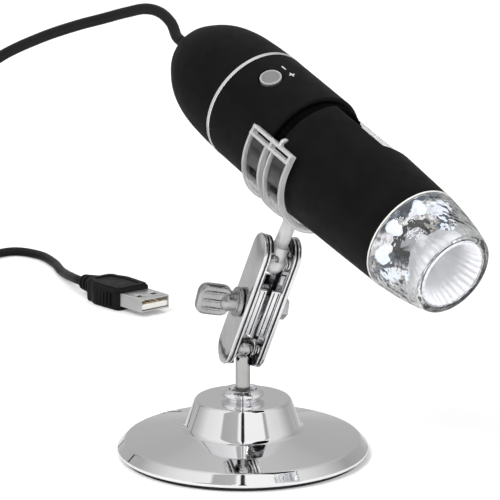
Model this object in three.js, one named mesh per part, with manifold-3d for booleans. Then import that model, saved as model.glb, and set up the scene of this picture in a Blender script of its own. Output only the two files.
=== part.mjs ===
// A USB digital microscope held in a clip on a small chrome stand, with its cord and plug.
// Millimetres, +Z up. The stand's foot is centred on the origin and the cord lies on z = 0.
import * as THREE from 'three';
import { mergeVertices } from 'three/addons/utils/BufferGeometryUtils.js';
import Module from 'manifold-3d';

const wasm = await Module();
wasm.setup();

// Clearances and the smoothness of turned pieces.
const gap = 0.3;
const overrun = 1;
const weld = 0.0001;
const sides = { fine: 36, plain: 16, small: 10 };

// The stand: a pad, a hollow chrome base with a weight in it, and a rod that ends in a ball. The base's plate
// rises from its rim to the foot of its cone.
const pad = { radius: 33.8, height: 1 };
const base = {
  radius: 35.3, rim: 2.5, edge: 1.1, plateTop: 4.6, rise: 3, coneFoot: 16.4, coneFootTop: 8.4,
  coneTop: 13.7, height: 16.1, fillet: 0.8, wall: 1.8,
};
const collar = { radius: 6.2, waist: 5.1, height: 2.6, mouth: 3.9 };
const rod = { radius: 2.05, thread: 1.45, ball: 3.2, ballHeight: 31.1, shoulder: 2.9 };
const rodNut = { across: 5.5, height: 2.5 };

// The clamp: two shells that grip the rod's ball below and the holder's ball above.
const clamp = {
  spacing: 29, crown: 2.4, halfWidth: 5.45, outer: 5.4, plate: 1, wall: 0.8, inner: 0.7, window: 6.8,
  heading: -46, lean: 24.9, twist: -117.6,
};
const rib = { inner: 3.1, outer: 3.9, halfWidth: 5.3 };
const seat = { radius: 2.4, inner: 3.1 };
const spacer = { radius: 2.7 };
const wing = {
  shank: 1.5, flange: 4.2, flangeHeight: 1.2, hub: 2.9, hubLength: 1.8,
  length: 9.6, span: 8.8, thickness: 3, corner: 3, ridge: 0.5, turn: 14,
};
const clampNut = { across: 6, height: 2.3 };

// The holder: a metal ball with a collar, and a clear stem and clip screwed into it.
const upperBall = { radius: 3.3, collar: 2.7, collarLength: 5.2, screwTurn: 139, screwOffset: 1.7 };
const ballScrew = { head: 1.35, headHeight: 0.9, shank: 0.8, recess: 0.28 };
const clip = {
  reach: 32.8, station: 28, halfWidth: 9.2, inner: 16.85, web: 1, rail: 1.9, railWidth: 1.3,
  slot: 1.8, halfAngle: 98, stem: 2, seatDepth: 3, bead: 2.4, beadAngle: 8, slotStart: 28,
};
const hook = { width: 2.2, height: 2.2, thickness: 0.7 };

// The microscope. Its local Z runs from the silver ring to the nose, and X points to the stem.
const scope = { radius: 16.5, heading: -52.6, dip: 21.4, roll: -9.5, wall: 1.6 };
const ring = { width: 1.1, proud: 0.1, depth: 1.5 };
const cap = { length: 33, wall: 1.6 };
const sleeve = { rim: 24.9, chamfer: 0.5 };
const wheel = { width: 3.1, radius: 15.3, teeth: 60, tooth: 0.35, bore: 12.3 };
const housing = { front: 70.2, startRadius: 16.3, frontRadius: 14.7, frontWall: 1.4, deepBore: 49 };
const recess = { angle: 150, depth: 13.2, length: 14, ramp: 6 };
const nose = { length: 16.6, rearRadius: 14.5, frontRadius: 11.6, wall: 1.1, lip: 1.7 };
const guide = { frontRadius: 9.6, rearRadius: 7.4, wall: 0.9, rear: 75.5 };
const gland = { radius: 2.9, tip: 2.2, flange: 4, flangeHeight: 0.9, exposed: 4 };

// Inside the microscope.
const tube = { outer: 12, inner: 11, rear: 21.9, flangeLength: 2.7 };
const sensorBoard = { thickness: 1.4 };
const sensor = { width: 8, height: 1.3 };
const mainBoard = { rear: -17, halfWidth: 11.4, rearHalfWidth: 8.4, thickness: 1.2, height: 8 };
const switchBox = { width: 6, height: 2.2, plunger: 1.6, plungerHeight: 0.5 };
const button = { station: 9.6, angle: -146.5, radius: 3, proud: 0.6, flange: 3.9, flangeHeight: 0.9, travel: 0.7 };
const barrel = { collar: 10.7, collarLength: 9, radius: 5.6, rear: 45, front: 71.6, lip: 0.6 };
const lens = { radius: 4.1, thickness: 2.6, setback: 1.2, crown: 0.9, crownShare: 0.7 };
const ledBoard = { inner: 6, thickness: 1.2 };
const led = { radius: 1.5, flange: 1.8, flangeHeight: 0.7, height: 4, circle: 10.7, count: 8, sides: 8 };

// The cord: its free stretches are points chosen by hand, and the rest of it is a wound coil.
const cord = { radius: 1.6, sides: 8, step: 2, length: 1500 };
const coil = { centreX: -133, centreY: 76, middle: 18.5, turns: 4.5, pitch: 3.7, layer: 3.7, sides: 6, steps: 24, dip: 0.9 };
const tie = { thickness: 0.6, width: 5 };

// The plug: a moulded grip, a ribbed neck and the metal shell.
const plug = { x: -37.8, y: 161.6, heading: -50 };
const grip = { length: 21, width: 15.4, height: 8, rear: 12.4, corner: 2.4, shoulder: 7, edge: 1.2 };
const neck = { length: 8.4, front: 3.7, rear: 2.6, groove: 0.7, rings: 4 };
const shell = { width: 12, height: 4.5, exposed: 11.7, buried: 6, sheet: 0.4, window: 2.2, windowSpan: 2.4, windowSetback: 5.1 };
const tongue = { width: 10.9, height: 1.9, length: 11 };
const contact = { width: 1.1, height: 0.25, length: 7.6, pitch: 2.4, count: 4 };

const zAxis = new THREE.Vector3(0, 0, 1);
const yAxis = new THREE.Vector3(0, 1, 0);
const radians = THREE.MathUtils.degToRad;

// Materials

function material(color, roughness, metalness) {
  return new THREE.MeshStandardMaterial({ color, roughness, metalness });
}

const chrome = material('#d9dadb', 0.08, 1);
const steel = material('#a9abad', 0.35, 1);
const softBlack = material('#1b1b1c', 0.6, 0);
const rubber = material('#151515', 0.8, 0);
const clear = material('#eef1f2', 0.05, 0);
const silver = material('#dcdcdc', 0.3, 0.6);
const greyPlastic = material('#8e8f92', 0.5, 0);
const circuit = material('#1f5a34', 0.5, 0);
const darkPlastic = material('#232324', 0.5, 0);
const glass = material('#39424d', 0.03, 0);
const ledLight = material('#f2f6ff', 0.1, 0);
const white = material('#e9e9e6', 0.4, 0);
const gold = material('#d9b45a', 0.25, 1);

// Solids

// A closed geometry as indexed triangles, with doubled vertices merged and collapsed ones left out.
function welded(geometry) {
  const bare = geometry.clone();
  bare.deleteAttribute('normal');
  bare.deleteAttribute('uv');
  const merged = mergeVertices(bare, weld);
  const kept = [];
  const index = merged.index.array;
  for (let i = 0; i < index.length; i += 3) {
    const [a, b, c] = [index[i], index[i + 1], index[i + 2]];
    if (a !== b && b !== c && c !== a) kept.push(a, b, c);
  }
  merged.setIndex(kept);
  return merged;
}

function solid(geometry) {
  const merged = welded(geometry);
  return new wasm.Manifold(new wasm.Mesh({
    numProp: 3,
    vertProperties: new Float32Array(merged.attributes.position.array),
    triVerts: new Uint32Array(merged.index.array),
  }));
}

function geometryOf(body) {
  const mesh = body.getMesh();
  const geometry = new THREE.BufferGeometry();
  geometry.setAttribute('position', new THREE.BufferAttribute(mesh.vertProperties, 3));
  geometry.setIndex(new THREE.BufferAttribute(mesh.triVerts, 1));
  return geometry;
}

// The first solid with others added and then others taken away.
function joined(first, added, removed) {
  let body = solid(first);
  for (const geometry of added) body = body.add(solid(geometry));
  for (const geometry of removed) body = body.subtract(solid(geometry));
  return geometryOf(body);
}

// A turned solid about Z. The profile is [radius, height] pairs, upward on its outer side.
function turned(profile, count = sides.fine) {
  const points = profile.map(([r, z]) => new THREE.Vector2(r, z));
  return new THREE.LatheGeometry(points, count).rotateX(Math.PI / 2);
}

function rodAlongZ(radius, low, high, count = sides.plain) {
  return turned([[0, low], [radius, low], [radius, high], [0, high]], count);
}

// A ball whose poles lie on X, as a turned solid.
function ball(radius) {
  const rings = sides.small;
  const profile = [];
  for (let i = 0; i <= rings; i += 1) {
    const angle = (Math.PI * i) / rings;
    profile.push([radius * Math.sin(angle), -radius * Math.cos(angle)]);
  }
  return alongX(turned(profile, sides.plain));
}

function tubeAlongZ(inner, outer, low, high, count = sides.fine) {
  return turned([[inner, low], [outer, low], [outer, high], [inner, high], [inner, low]], count);
}

function slab(shape, low, high, curveSegments = 12) {
  const depth = high - low;
  return new THREE.ExtrudeGeometry(shape, { depth, bevelEnabled: false, curveSegments }).translate(0, 0, low);
}

function box(width, depth, height, x, y, z) {
  return new THREE.BoxGeometry(width, depth, height).translate(x, y, z);
}

function polygon(count, radius, turn = 0) {
  const points = [];
  for (let i = 0; i < count; i += 1) {
    const angle = turn + (2 * Math.PI * i) / count;
    points.push(new THREE.Vector2(radius * Math.cos(angle), radius * Math.sin(angle)));
  }
  return new THREE.Shape(points);
}

function roundedRectangle(width, height, corner) {
  const [x, y] = [width / 2, height / 2];
  const shape = new THREE.Shape();
  shape.moveTo(corner - x, -y);
  shape.lineTo(x - corner, -y);
  shape.absarc(x - corner, corner - y, corner, -Math.PI / 2, 0);
  shape.lineTo(x, y - corner);
  shape.absarc(x - corner, y - corner, corner, 0, Math.PI / 2);
  shape.lineTo(corner - x, y);
  shape.absarc(corner - x, y - corner, corner, Math.PI / 2, Math.PI);
  shape.lineTo(-x, corner - y);
  shape.absarc(corner - x, corner - y, corner, Math.PI, 1.5 * Math.PI);
  return shape;
}

// A sector of a ring, symmetric about +X.
function sector(inner, outer, from, to) {
  const shape = new THREE.Shape();
  shape.absarc(0, 0, outer, from, to, false);
  shape.absarc(0, 0, inner, to, from, true);
  return shape;
}

function hexNut(across, bore, low, high) {
  const shape = polygon(6, across / Math.sqrt(3));
  const hole = new THREE.Path();
  hole.absarc(0, 0, bore, 0, 2 * Math.PI, true);
  shape.holes.push(hole);
  return slab(shape, low, high);
}

// Turns a solid made along Z so that it lies along X, with its X to Y and its Y to Z.
function alongX(geometry) {
  const basis = new THREE.Matrix4().makeBasis(
    new THREE.Vector3(0, 1, 0), new THREE.Vector3(0, 0, 1), new THREE.Vector3(1, 0, 0));
  return geometry.applyMatrix4(basis);
}

function named(name, geometry, look) {
  const mesh = new THREE.Mesh(geometry, look);
  mesh.name = name;
  return mesh;
}

// Sets a frame by its heading about Z, its lean away from Z and its twist about itself.
function aim(frame, heading, lean, twist) {
  const turnBy = (axis, degrees) => new THREE.Quaternion().setFromAxisAngle(axis, radians(degrees));
  frame.quaternion.copy(turnBy(zAxis, heading));
  frame.quaternion.multiply(turnBy(yAxis, lean)).multiply(turnBy(zAxis, twist));
  frame.updateMatrixWorld(true);
  return frame;
}

// Stand

function makeStand() {
  const stand = new THREE.Group();
  const low = pad.height + gap;
  const bore = rod.radius + gap;
  const roofUnder = base.height - base.wall;
  const coneInner = base.coneTop - base.wall;
  const coneInnerFoot = base.coneFoot - base.wall;
  const plateUnder = base.plateTop - base.wall;
  const plateOuter = base.radius - base.rim;
  const plateInner = plateOuter - base.edge;
  const rimInner = base.radius - base.wall;
  const collarTop = base.height + collar.height;
  const halfEdge = base.edge / 2;
  stand.add(named('foot_pad', rodAlongZ(pad.radius, 0, pad.height, sides.fine), rubber));
  stand.add(named('base_shell', turned([
    [rimInner, low], [base.radius - halfEdge / 2, low], [base.radius, low + halfEdge / 2],
    [base.radius, low + base.edge], [base.radius - halfEdge, low + base.edge + halfEdge],
    [plateOuter + halfEdge, base.plateTop - halfEdge / 2], [plateOuter, base.plateTop],
    [base.coneFoot + base.fillet, base.plateTop + base.rise], [base.coneFoot + halfEdge, base.coneFootTop - halfEdge],
    [base.coneFoot, base.coneFootTop], [base.coneTop, base.height - halfEdge],
    [base.coneTop - halfEdge, base.height], [collar.waist + halfEdge, base.height],
    [collar.waist, base.height + halfEdge], [collar.radius - halfEdge / 2, collarTop - halfEdge],
    [collar.radius, collarTop], [collar.radius - halfEdge, collarTop + halfEdge / 2],
    [collar.mouth, base.height + halfEdge], [bore, base.height + halfEdge], [bore, roofUnder],
    [coneInner, roofUnder], [coneInnerFoot, base.coneFootTop], [coneInnerFoot, plateUnder + base.rise],
    [plateInner, plateUnder], [rimInner, low + base.edge], [rimInner, low],
  ]), chrome));

  const threadLow = roofUnder - gap - rodNut.height - gap;
  const coneFill = coneInner - gap;
  stand.add(named('base_weight', turned([
    [0, low], [plateInner - gap - halfEdge, low], [plateInner - gap - halfEdge, plateUnder - gap],
    [coneInnerFoot - gap, plateUnder - gap], [coneInnerFoot - gap, base.coneFootTop],
    [coneFill + halfEdge, threadLow - gap], [0, threadLow - gap],
  ], sides.plain), steel));

  const ballCut = Math.sqrt(rod.ball ** 2 - rod.radius ** 2);
  const shoulderLow = base.height + halfEdge + gap;
  const profile = [
    [0, threadLow], [rod.thread, threadLow], [rod.thread, roofUnder - gap / 2],
    [rod.radius, roofUnder - gap / 2], [rod.radius, shoulderLow], [rod.shoulder, shoulderLow],
    [rod.shoulder, shoulderLow + halfEdge], [rod.radius, shoulderLow + base.edge],
  ];
  const start = Math.acos(ballCut / rod.ball);
  const rings = sides.small;
  for (let i = 0; i <= rings; i += 1) {
    const angle = start + ((Math.PI - start) * i) / rings;
    profile.push([rod.ball * Math.sin(angle), rod.ballHeight - rod.ball * Math.cos(angle)]);
  }
  stand.add(named('ball_rod', turned(profile, sides.plain), chrome));
  const nutTop = roofUnder - gap;
  stand.add(named('rod_nut', hexNut(rodNut.across, rod.thread + gap / 2, nutTop - rodNut.height, nutTop), steel));
  return stand;
}

// Clamp

// A slot-shaped outline round the lower ball centre and a crown above the upper one, in the clamp's Y and Z.
function slotOutline(halfWidth) {
  const shape = new THREE.Shape();
  shape.absarc(0, clamp.spacing + clamp.crown, halfWidth, 0, Math.PI);
  shape.absarc(0, 0, halfWidth, Math.PI, 2 * Math.PI);
  return shape;
}

// One shell, made on the side of +X: a flat plate with a ribbed wall, cut away at both balls.
function clampShell() {
  const plateInner = clamp.outer - clamp.plate;
  const wallHalf = rib.halfWidth - clamp.wall;
  const layers = [
    [clamp.halfWidth, plateInner, clamp.outer], [clamp.halfWidth - clamp.wall / 2, rib.outer, plateInner],
    [rib.halfWidth, rib.inner, rib.outer], [wallHalf, clamp.inner, rib.inner],
  ].map(([halfWidth, from, to]) => alongX(slab(slotOutline(halfWidth), from, to, 8)));
  const [plate, ...rest] = layers;
  const hollow = alongX(slab(slotOutline(wallHalf - clamp.wall), clamp.inner - overrun, plateInner));
  const windowInner = seat.inner + 2 * gap;
  const cuts = [hollow];
  const seats = [];
  const ballRadii = [rod.ball, upperBall.radius];
  for (const [i, centre] of [0, clamp.spacing].entries()) {
    const away = i === 0 ? -1 : 1;
    const beyond = clamp.halfWidth + overrun + i * clamp.crown;
    const middle = centre + (away * (beyond - clamp.window)) / 2;
    cuts.push(box(2 * windowInner, 2 * clamp.halfWidth + overrun, clamp.window + beyond, 0, 0, middle));
    const boss = alongX(rodAlongZ(seat.radius, seat.inner, plateInner + gap)).translate(0, 0, centre);
    seats.push(joined(boss, [], [ball(ballRadii[i] + gap).translate(0, 0, centre)]));
  }
  const hole = alongX(rodAlongZ(wing.shank + gap, 0, clamp.outer + overrun, sides.small));
  hole.translate(0, 0, clamp.spacing / 2);
  let body = solid(joined(plate, rest, cuts));
  for (const item of seats) body = body.add(solid(item));
  return geometryOf(body.subtract(solid(hole)));
}

// The wing screw: flange, hub and two ridged wings on a long shank.
function wingScrew() {
  const flangeLow = clamp.outer + gap;
  const flangeHigh = flangeLow + wing.flangeHeight;
  const hubHigh = flangeHigh + wing.hubLength;
  const end = -(clamp.outer + gap + clampNut.height + gap);
  const turnedPart = turned([
    [0, end], [wing.shank, end], [wing.shank, flangeLow], [wing.flange, flangeLow],
    [wing.flange, flangeHigh], [wing.hub, flangeHigh], [wing.hub, hubHigh + wing.length / 2],
    [0, hubHigh + wing.length / 2],
  ], sides.plain);
  const half = wing.thickness / 2;
  const middle = hubHigh + wing.length / 2 - gap;
  const blade = slab(roundedRectangle(wing.length, wing.span, wing.corner), -half, half, 6);
  blade.rotateY(Math.PI / 2).translate(0, 0, middle);
  const ridges = [];
  for (const face of [-1, 1]) {
    for (const place of [-1, 0, 1]) {
      const ridge = new THREE.CapsuleGeometry(wing.ridge, wing.length - 2 * wing.corner, 2, 8);
      ridges.push(ridge.rotateX(Math.PI / 2).translate(face * half, (place * wing.span) / 4, middle));
    }
  }
  return alongX(joined(turnedPart, [blade, ...ridges], []).rotateZ(radians(wing.turn)));
}

function makeClamp() {
  const frame = new THREE.Group();
  frame.position.set(0, 0, rod.ballHeight);
  aim(frame, clamp.heading, clamp.lean, clamp.twist);
  const middle = clamp.spacing / 2;
  frame.add(named('outer_clamp_shell', clampShell(), chrome));
  frame.add(named('inner_clamp_shell', clampShell().rotateZ(Math.PI), chrome));
  const reach = clamp.outer - clamp.plate - gap;
  const sleeveBody = alongX(tubeAlongZ(wing.shank + gap, spacer.radius, -reach, reach, sides.small));
  frame.add(named('clamp_spacer', sleeveBody.translate(0, 0, middle), steel));
  frame.add(named('wing_screw', wingScrew().translate(0, 0, middle), chrome));
  const nutFace = clamp.outer + gap;
  const nut = alongX(hexNut(clampNut.across, wing.shank + gap / 2, -nutFace - clampNut.height, -nutFace));
  frame.add(named('clamp_nut', nut.translate(0, 0, middle), steel));
  return frame;
}

// Holder, in the microscope's frame: the ball lies on +X, under the clip.

function makeHolder() {
  const holder = new THREE.Group();
  const station = clip.station;
  const stemEnd = clip.reach - clip.seatDepth - gap;
  const toX = (geometry) => alongX(geometry).translate(clip.reach, 0, station);

  const ballBody = ball(upperBall.radius).translate(clip.reach, 0, station);
  const neckPart = toX(rodAlongZ(upperBall.collar, -upperBall.collarLength, 0));
  const stemBore = toX(rodAlongZ(clip.stem + gap, -upperBall.collarLength - overrun, -clip.seatDepth));
  const screwAxis = (geometry) => alongX(geometry)
    .rotateZ(Math.PI / 2).rotateX(radians(upperBall.screwTurn))
    .translate(clip.reach - upperBall.screwOffset, 0, station);
  const screwSeat = upperBall.collar - ballScrew.headHeight;
  const screwBore = screwAxis(turned([
    [0, 0], [ballScrew.shank + gap, 0], [ballScrew.shank + gap, screwSeat],
    [ballScrew.head + gap, screwSeat], [ballScrew.head + gap, upperBall.radius + overrun],
    [0, upperBall.radius + overrun],
  ], sides.small));
  holder.add(named('holder_ball', joined(ballBody, [neckPart], [stemBore, screwBore]), chrome));

  const headLow = screwSeat + gap;
  const headHigh = headLow + ballScrew.headHeight;
  const screw = turned([
    [0, 2 * gap], [ballScrew.shank, 2 * gap], [ballScrew.shank, headLow], [ballScrew.head, headLow],
    [ballScrew.head, headHigh - gap], [ballScrew.head - gap, headHigh], [0, headHigh],
  ], sides.small);
  const slotLength = 2 * ballScrew.head - 2 * gap;
  const slots = [
    box(slotLength, ballScrew.recess, 2 * gap, 0, 0, headHigh),
    box(ballScrew.recess, slotLength, 2 * gap, 0, 0, headHigh),
  ];
  holder.add(named('ball_screw', screwAxis(joined(screw, [], slots)), steel));
  holder.add(named('clip', clipBody(stemEnd), clear));
  return holder;
}

// The clear clip: two webbed bands between rails, a bead along each tip, a hook and the stem.
function clipBody(stemEnd) {
  const low = clip.station - clip.halfWidth;
  const high = clip.station + clip.halfWidth;
  const reach = radians(clip.halfAngle);
  const bead = radians(clip.beadAngle);
  const webOuter = clip.inner + clip.web;
  const railOuter = clip.inner + clip.rail;
  const web = slab(sector(clip.inner, webOuter, -reach, reach), low, high, sides.plain);
  const slotLow = clip.station - clip.slot / 2;
  const slotHigh = clip.station + clip.slot / 2;
  const railLows = [low, slotLow - clip.railWidth, slotHigh, high - clip.railWidth];
  const railOutline = sector(clip.inner, railOuter, -reach, reach);
  const rails = railLows.map((z) => slab(railOutline, z, z + clip.railWidth, sides.plain));
  const beads = [-1, 1].map((side) => {
    const ends = [reach - bead / 4, reach + bead].map((angle) => side * angle);
    const outline = sector(clip.inner, clip.inner + clip.bead, Math.min(...ends), Math.max(...ends));
    return slab(outline, low - gap, high + gap, 3);
  });
  const slots = [-1, 1].map((side) => {
    const ends = [radians(clip.slotStart), reach - bead / 2].map((angle) => side * angle);
    const outline = sector(clip.inner - overrun, railOuter + overrun, Math.min(...ends), Math.max(...ends));
    return slab(outline, slotLow, slotHigh, sides.small);
  });
  const hookInner = clip.inner + clip.bead - gap;
  const hookTurn = hook.height / hookInner;
  const hookOutline = sector(hookInner, hookInner + hook.thickness, -reach - bead - hookTurn, -reach - bead / 2);
  const hookBody = slab(hookOutline, clip.station + hook.width, clip.station + 2 * hook.width, 3);
  const stemStart = clip.inner + clip.web / 2;
  const stem = alongX(turned([
    [0, stemStart], [2 * clip.stem, stemStart], [clip.stem, clip.inner + 2 * clip.rail],
    [clip.stem, stemEnd], [0, stemEnd],
  ], sides.plain)).translate(0, 0, clip.station);
  return joined(web, [...rails, ...beads, hookBody, stem], slots);
}

// Microscope casing

// Shares of the cap's radius and length, from the ring to the tip.
const capOutlineShares = [
  [0.997, 0.02], [0.985, 0.2], [0.95, 0.41], [0.88, 0.58], [0.79, 0.7],
  [0.68, 0.8], [0.56, 0.89], [0.42, 0.955], [0.27, 0.99], [0.22, 1],
];

const glandSeat = 2 * cap.wall - cap.length;
const glandTip = -cap.length - gland.exposed;

function rearCap() {
  const start = -ring.width / 2 - gap;
  const length = cap.length + start;
  const bore = gland.radius + gap;
  const outer = capOutlineShares.map(([r, z]) => [scope.radius * r, start - length * z]);
  const hollow = outer.slice(1, -3).map(([r, z]) => [r - cap.wall, z - (cap.wall * z) / cap.length]);
  return turned([
    [bore, -cap.length], ...outer.reverse(), [scope.radius, start], [scope.radius - cap.wall, start],
    ...hollow, [gland.flange + gap, glandSeat], [bore, glandSeat], [bore, -cap.length],
  ]);
}

// The gland's inner end is open and holds the cord; its tip is closed round it.
function cordGland() {
  const inner = cord.radius + gap;
  const seatFace = glandSeat + gap;
  const flangeTop = seatFace + gland.flangeHeight;
  const floor = glandTip + gland.tip;
  return turned([
    [0, glandTip], [gland.tip, glandTip], [gland.radius, -cap.length - gap], [gland.radius, seatFace],
    [gland.flange, seatFace], [gland.flange, flangeTop], [inner, flangeTop], [inner, floor], [0, floor],
  ], sides.plain);
}

function mainSleeve() {
  const low = ring.width / 2 + gap;
  const inner = scope.radius - scope.wall;
  const tubeBody = turned([
    [inner, low], [scope.radius, low], [scope.radius, sleeve.rim - sleeve.chamfer],
    [scope.radius - sleeve.chamfer, sleeve.rim], [inner, sleeve.rim], [inner, low],
  ]);
  return joined(tubeBody, [], [onButton(rodAlongZ(button.radius + gap, inner - overrun, scope.radius + overrun))]);
}

// Puts a solid made along Z at the button's place, with Z pointing out of the body.
function onButton(geometry) {
  return alongX(geometry).rotateZ(radians(button.angle)).translate(0, 0, button.station);
}

function focusWheel() {
  const low = sleeve.rim + gap;
  const shape = new THREE.Shape();
  const points = [];
  for (let i = 0; i < 2 * wheel.teeth; i += 1) {
    const radius = wheel.radius - (i % 2) * wheel.tooth;
    const angle = (Math.PI * i) / wheel.teeth;
    points.push(new THREE.Vector2(radius * Math.cos(angle), radius * Math.sin(angle)));
  }
  shape.setFromPoints(points);
  const hole = new THREE.Path();
  hole.absarc(0, 0, wheel.bore, 0, 2 * Math.PI, true);
  shape.holes.push(hole);
  return slab(shape, low, low + wheel.width, sides.small);
}

// Shares of the front housing's drop in radius and of its length.
const housingShares = [[0, 0.012], [0.13, 0.18], [0.34, 0.33], [0.63, 0.62], [1, 0.93], [1, 1]];

// The front housing tapers to the nose and has a flat thumb recess beside the wheel.
function frontHousing() {
  const low = sleeve.rim + gap + wheel.width + gap;
  const high = housing.front;
  const length = high - low;
  const drop = housing.startRadius - housing.frontRadius;
  const outer = housingShares.map(([r, z]) => [housing.startRadius - drop * r, low + length * z]);
  const frontBore = housing.frontRadius - housing.frontWall;
  const body = turned([
    [wheel.bore, low], [housing.startRadius - sleeve.chamfer, low], ...outer, [frontBore, high], [frontBore, housing.deepBore],
    [wheel.bore, housing.deepBore], [wheel.bore, low],
  ]);
  const far = housing.startRadius + overrun;
  const cut = new THREE.Shape();
  cut.moveTo(recess.depth, low - overrun);
  cut.lineTo(far, low - overrun);
  cut.lineTo(far, low + recess.length + recess.ramp);
  cut.quadraticCurveTo(recess.depth, low + recess.length + recess.ramp / 3, recess.depth, low + recess.length);
  const across = 2 * housing.startRadius;
  const cutter = slab(cut, -across / 2, across / 2, 8).rotateX(Math.PI / 2).rotateZ(radians(recess.angle));
  return joined(body, [], [cutter]);
}

function noseShell() {
  const low = housing.front + gap;
  const high = low + nose.length;
  const crownShares = [[0, 0], [0.14, 0.28], [0.42, 0.58], [0.86, 0.95], [1.05, 1]];
  const drop = nose.rearRadius - nose.frontRadius;
  const outer = crownShares.map(([r, z]) => [nose.rearRadius - drop * r, low + nose.length * z]);
  const inner = outer.slice(0, 4).reverse().map(([r, z]) => [r - nose.wall, z - (z > low ? nose.wall : 0)]);
  const mouth = nose.frontRadius - nose.lip;
  return turned([
    ...outer, [mouth, high], [mouth, inner[0][1]], ...inner, outer[0],
  ]);
}

function lightGuide() {
  const front = housing.front + gap + nose.length - gap;
  const slope = [guide.frontRadius, guide.rearRadius];
  return turned([
    [slope[1] - guide.wall, guide.rear], [slope[1], guide.rear], [slope[0], front],
    [slope[0] - guide.wall, front], [slope[1] - guide.wall, guide.rear],
  ], 2 * sides.small);
}

function makeCasing() {
  const casing = new THREE.Group();
  const ringHalf = ring.width / 2;
  const ringRadius = scope.radius + ring.proud;
  casing.add(named('rear_cap', rearCap(), softBlack));
  casing.add(named('cord_gland', cordGland(), rubber));
  casing.add(named('silver_ring', tubeAlongZ(ringRadius - ring.depth, ringRadius, -ringHalf, ringHalf), silver));
  casing.add(named('main_sleeve', mainSleeve(), softBlack));
  casing.add(named('focus_wheel', focusWheel(), rubber));
  casing.add(named('front_housing', frontHousing(), softBlack));
  casing.add(named('nose_shell', noseShell(), clear));
  casing.add(named('light_guide', lightGuide(), clear));
  return casing;
}

// Microscope insides

function makeInsides() {
  const insides = new THREE.Group();
  const inner = scope.radius - scope.wall - gap;
  const tubeFront = housing.front - 2 * gap - ledBoard.thickness;
  const flangeHigh = tube.rear + tube.flangeLength;
  insides.add(named('inner_tube', turned([
    [tube.inner, tube.rear], [inner, tube.rear], [inner, flangeHigh], [tube.outer, flangeHigh],
    [tube.outer, tubeFront], [tube.inner, tubeFront], [tube.inner, tube.rear],
  ], sides.plain), darkPlastic));

  const boardTop = tube.rear - gap;
  const boardLow = boardTop - sensorBoard.thickness;
  insides.add(named('sensor_board', rodAlongZ(inner, boardLow, boardTop), circuit));
  const sensorMiddle = tube.rear + sensor.height / 2;
  insides.add(named('image_sensor', box(sensor.width, sensor.width, sensor.height, 0, 0, sensorMiddle), darkPlastic));

  const mainTop = boardLow - gap;
  const mainMiddle = mainBoard.height + mainBoard.thickness / 2;
  const boardPart = (halfWidth, low, high) => box(mainBoard.thickness, 2 * halfWidth, high - low,
    mainMiddle, 0, (low + high) / 2);
  const wide = boardPart(mainBoard.halfWidth, ring.width, mainTop);
  const narrow = boardPart(mainBoard.rearHalfWidth, mainBoard.rear, ring.width + overrun);
  insides.add(named('main_board', joined(wide, [narrow], []).rotateZ(radians(button.angle)), circuit));

  const switchLow = mainBoard.height + mainBoard.thickness + gap;
  const switchHigh = switchLow + switchBox.height;
  const body = box(switchBox.width, switchBox.width, switchBox.height, 0, 0, (switchLow + switchHigh) / 2);
  const plunger = rodAlongZ(switchBox.plunger, switchHigh - gap, switchHigh + switchBox.plungerHeight, sides.small);
  insides.add(named('zoom_switch', onButton(joined(body, [plunger], [])), greyPlastic));

  const buttonLow = switchHigh + switchBox.plungerHeight + button.travel + gap;
  const buttonTop = scope.radius + button.proud;
  insides.add(named('zoom_button', onButton(turned([
    [0, buttonLow], [button.flange, buttonLow], [button.flange, buttonLow + button.flangeHeight],
    [button.radius, buttonLow + button.flangeHeight], [button.radius, buttonTop - gap],
    [button.radius - gap, buttonTop], [0, buttonTop],
  ], sides.plain)), greyPlastic));

  const collarTop = barrel.rear + barrel.collarLength;
  const step = lens.setback + lens.thickness;
  const bore = lens.radius + gap;
  const lensSeat = barrel.front - step - gap;
  const lipLow = lensSeat - 2 * barrel.lip;
  const lipBore = lens.radius - barrel.lip;
  insides.add(named('lens_barrel', turned([
    [bore, barrel.rear], [barrel.collar, barrel.rear], [barrel.collar, collarTop],
    [barrel.radius, collarTop], [barrel.radius, barrel.front], [bore, barrel.front], [bore, lensSeat],
    [lipBore, lensSeat], [lipBore, lipLow], [bore, lipLow], [bore, barrel.rear],
  ], sides.plain), darkPlastic));
  const lensLow = barrel.front - step;
  insides.add(named('objective_lens', turned([
    [0, lensLow], [lens.radius, lensLow], [lens.radius, lensLow + lens.thickness - lens.crown],
    [lens.radius * lens.crownShare, lensLow + lens.thickness - lens.crown / 2], [0, lensLow + lens.thickness],
  ], sides.plain), glass));

  const ledRing = housing.frontRadius - housing.frontWall - gap;
  const boardFront = housing.front - gap;
  const boardRear = boardFront - ledBoard.thickness;
  insides.add(named('led_board', tubeAlongZ(ledBoard.inner, ledRing, boardRear, boardFront, sides.plain), white));
  for (let i = 0; i < led.count; i += 1) {
    const low = boardFront + gap;
    const dome = low + led.height - led.radius;
    const profile = [
      [0, low], [led.flange, low], [led.flange, low + led.flangeHeight],
      [led.radius, low + led.flangeHeight], [led.radius, dome],
    ];
    const bend = led.radius * Math.SQRT1_2;
    profile.push([bend, dome + bend], [0, dome + led.radius]);
    const angle = (2 * Math.PI * (i + 0.5)) / led.count;
    const lamp = turned(profile, led.sides);
    lamp.translate(led.circle * Math.cos(angle), led.circle * Math.sin(angle), 0);
    insides.add(named(`led_${i + 1}`, lamp, ledLight));
  }
  return insides;
}

// Places the microscope's frame so that the holder's ball sits in the clamp's upper seat.
function makeMicroscope(clampFrame) {
  const frame = new THREE.Group();
  aim(frame, scope.heading, 90 + scope.dip, scope.roll);
  const ballInFrame = new THREE.Vector3(clip.reach, 0, clip.station).applyQuaternion(frame.quaternion);
  frame.position.copy(clampFrame.localToWorld(new THREE.Vector3(0, 0, clamp.spacing)).sub(ballInFrame));
  frame.updateMatrixWorld(true);
  frame.add(makeHolder(), makeCasing(), makeInsides());
  return frame;
}

// Cord

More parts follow.
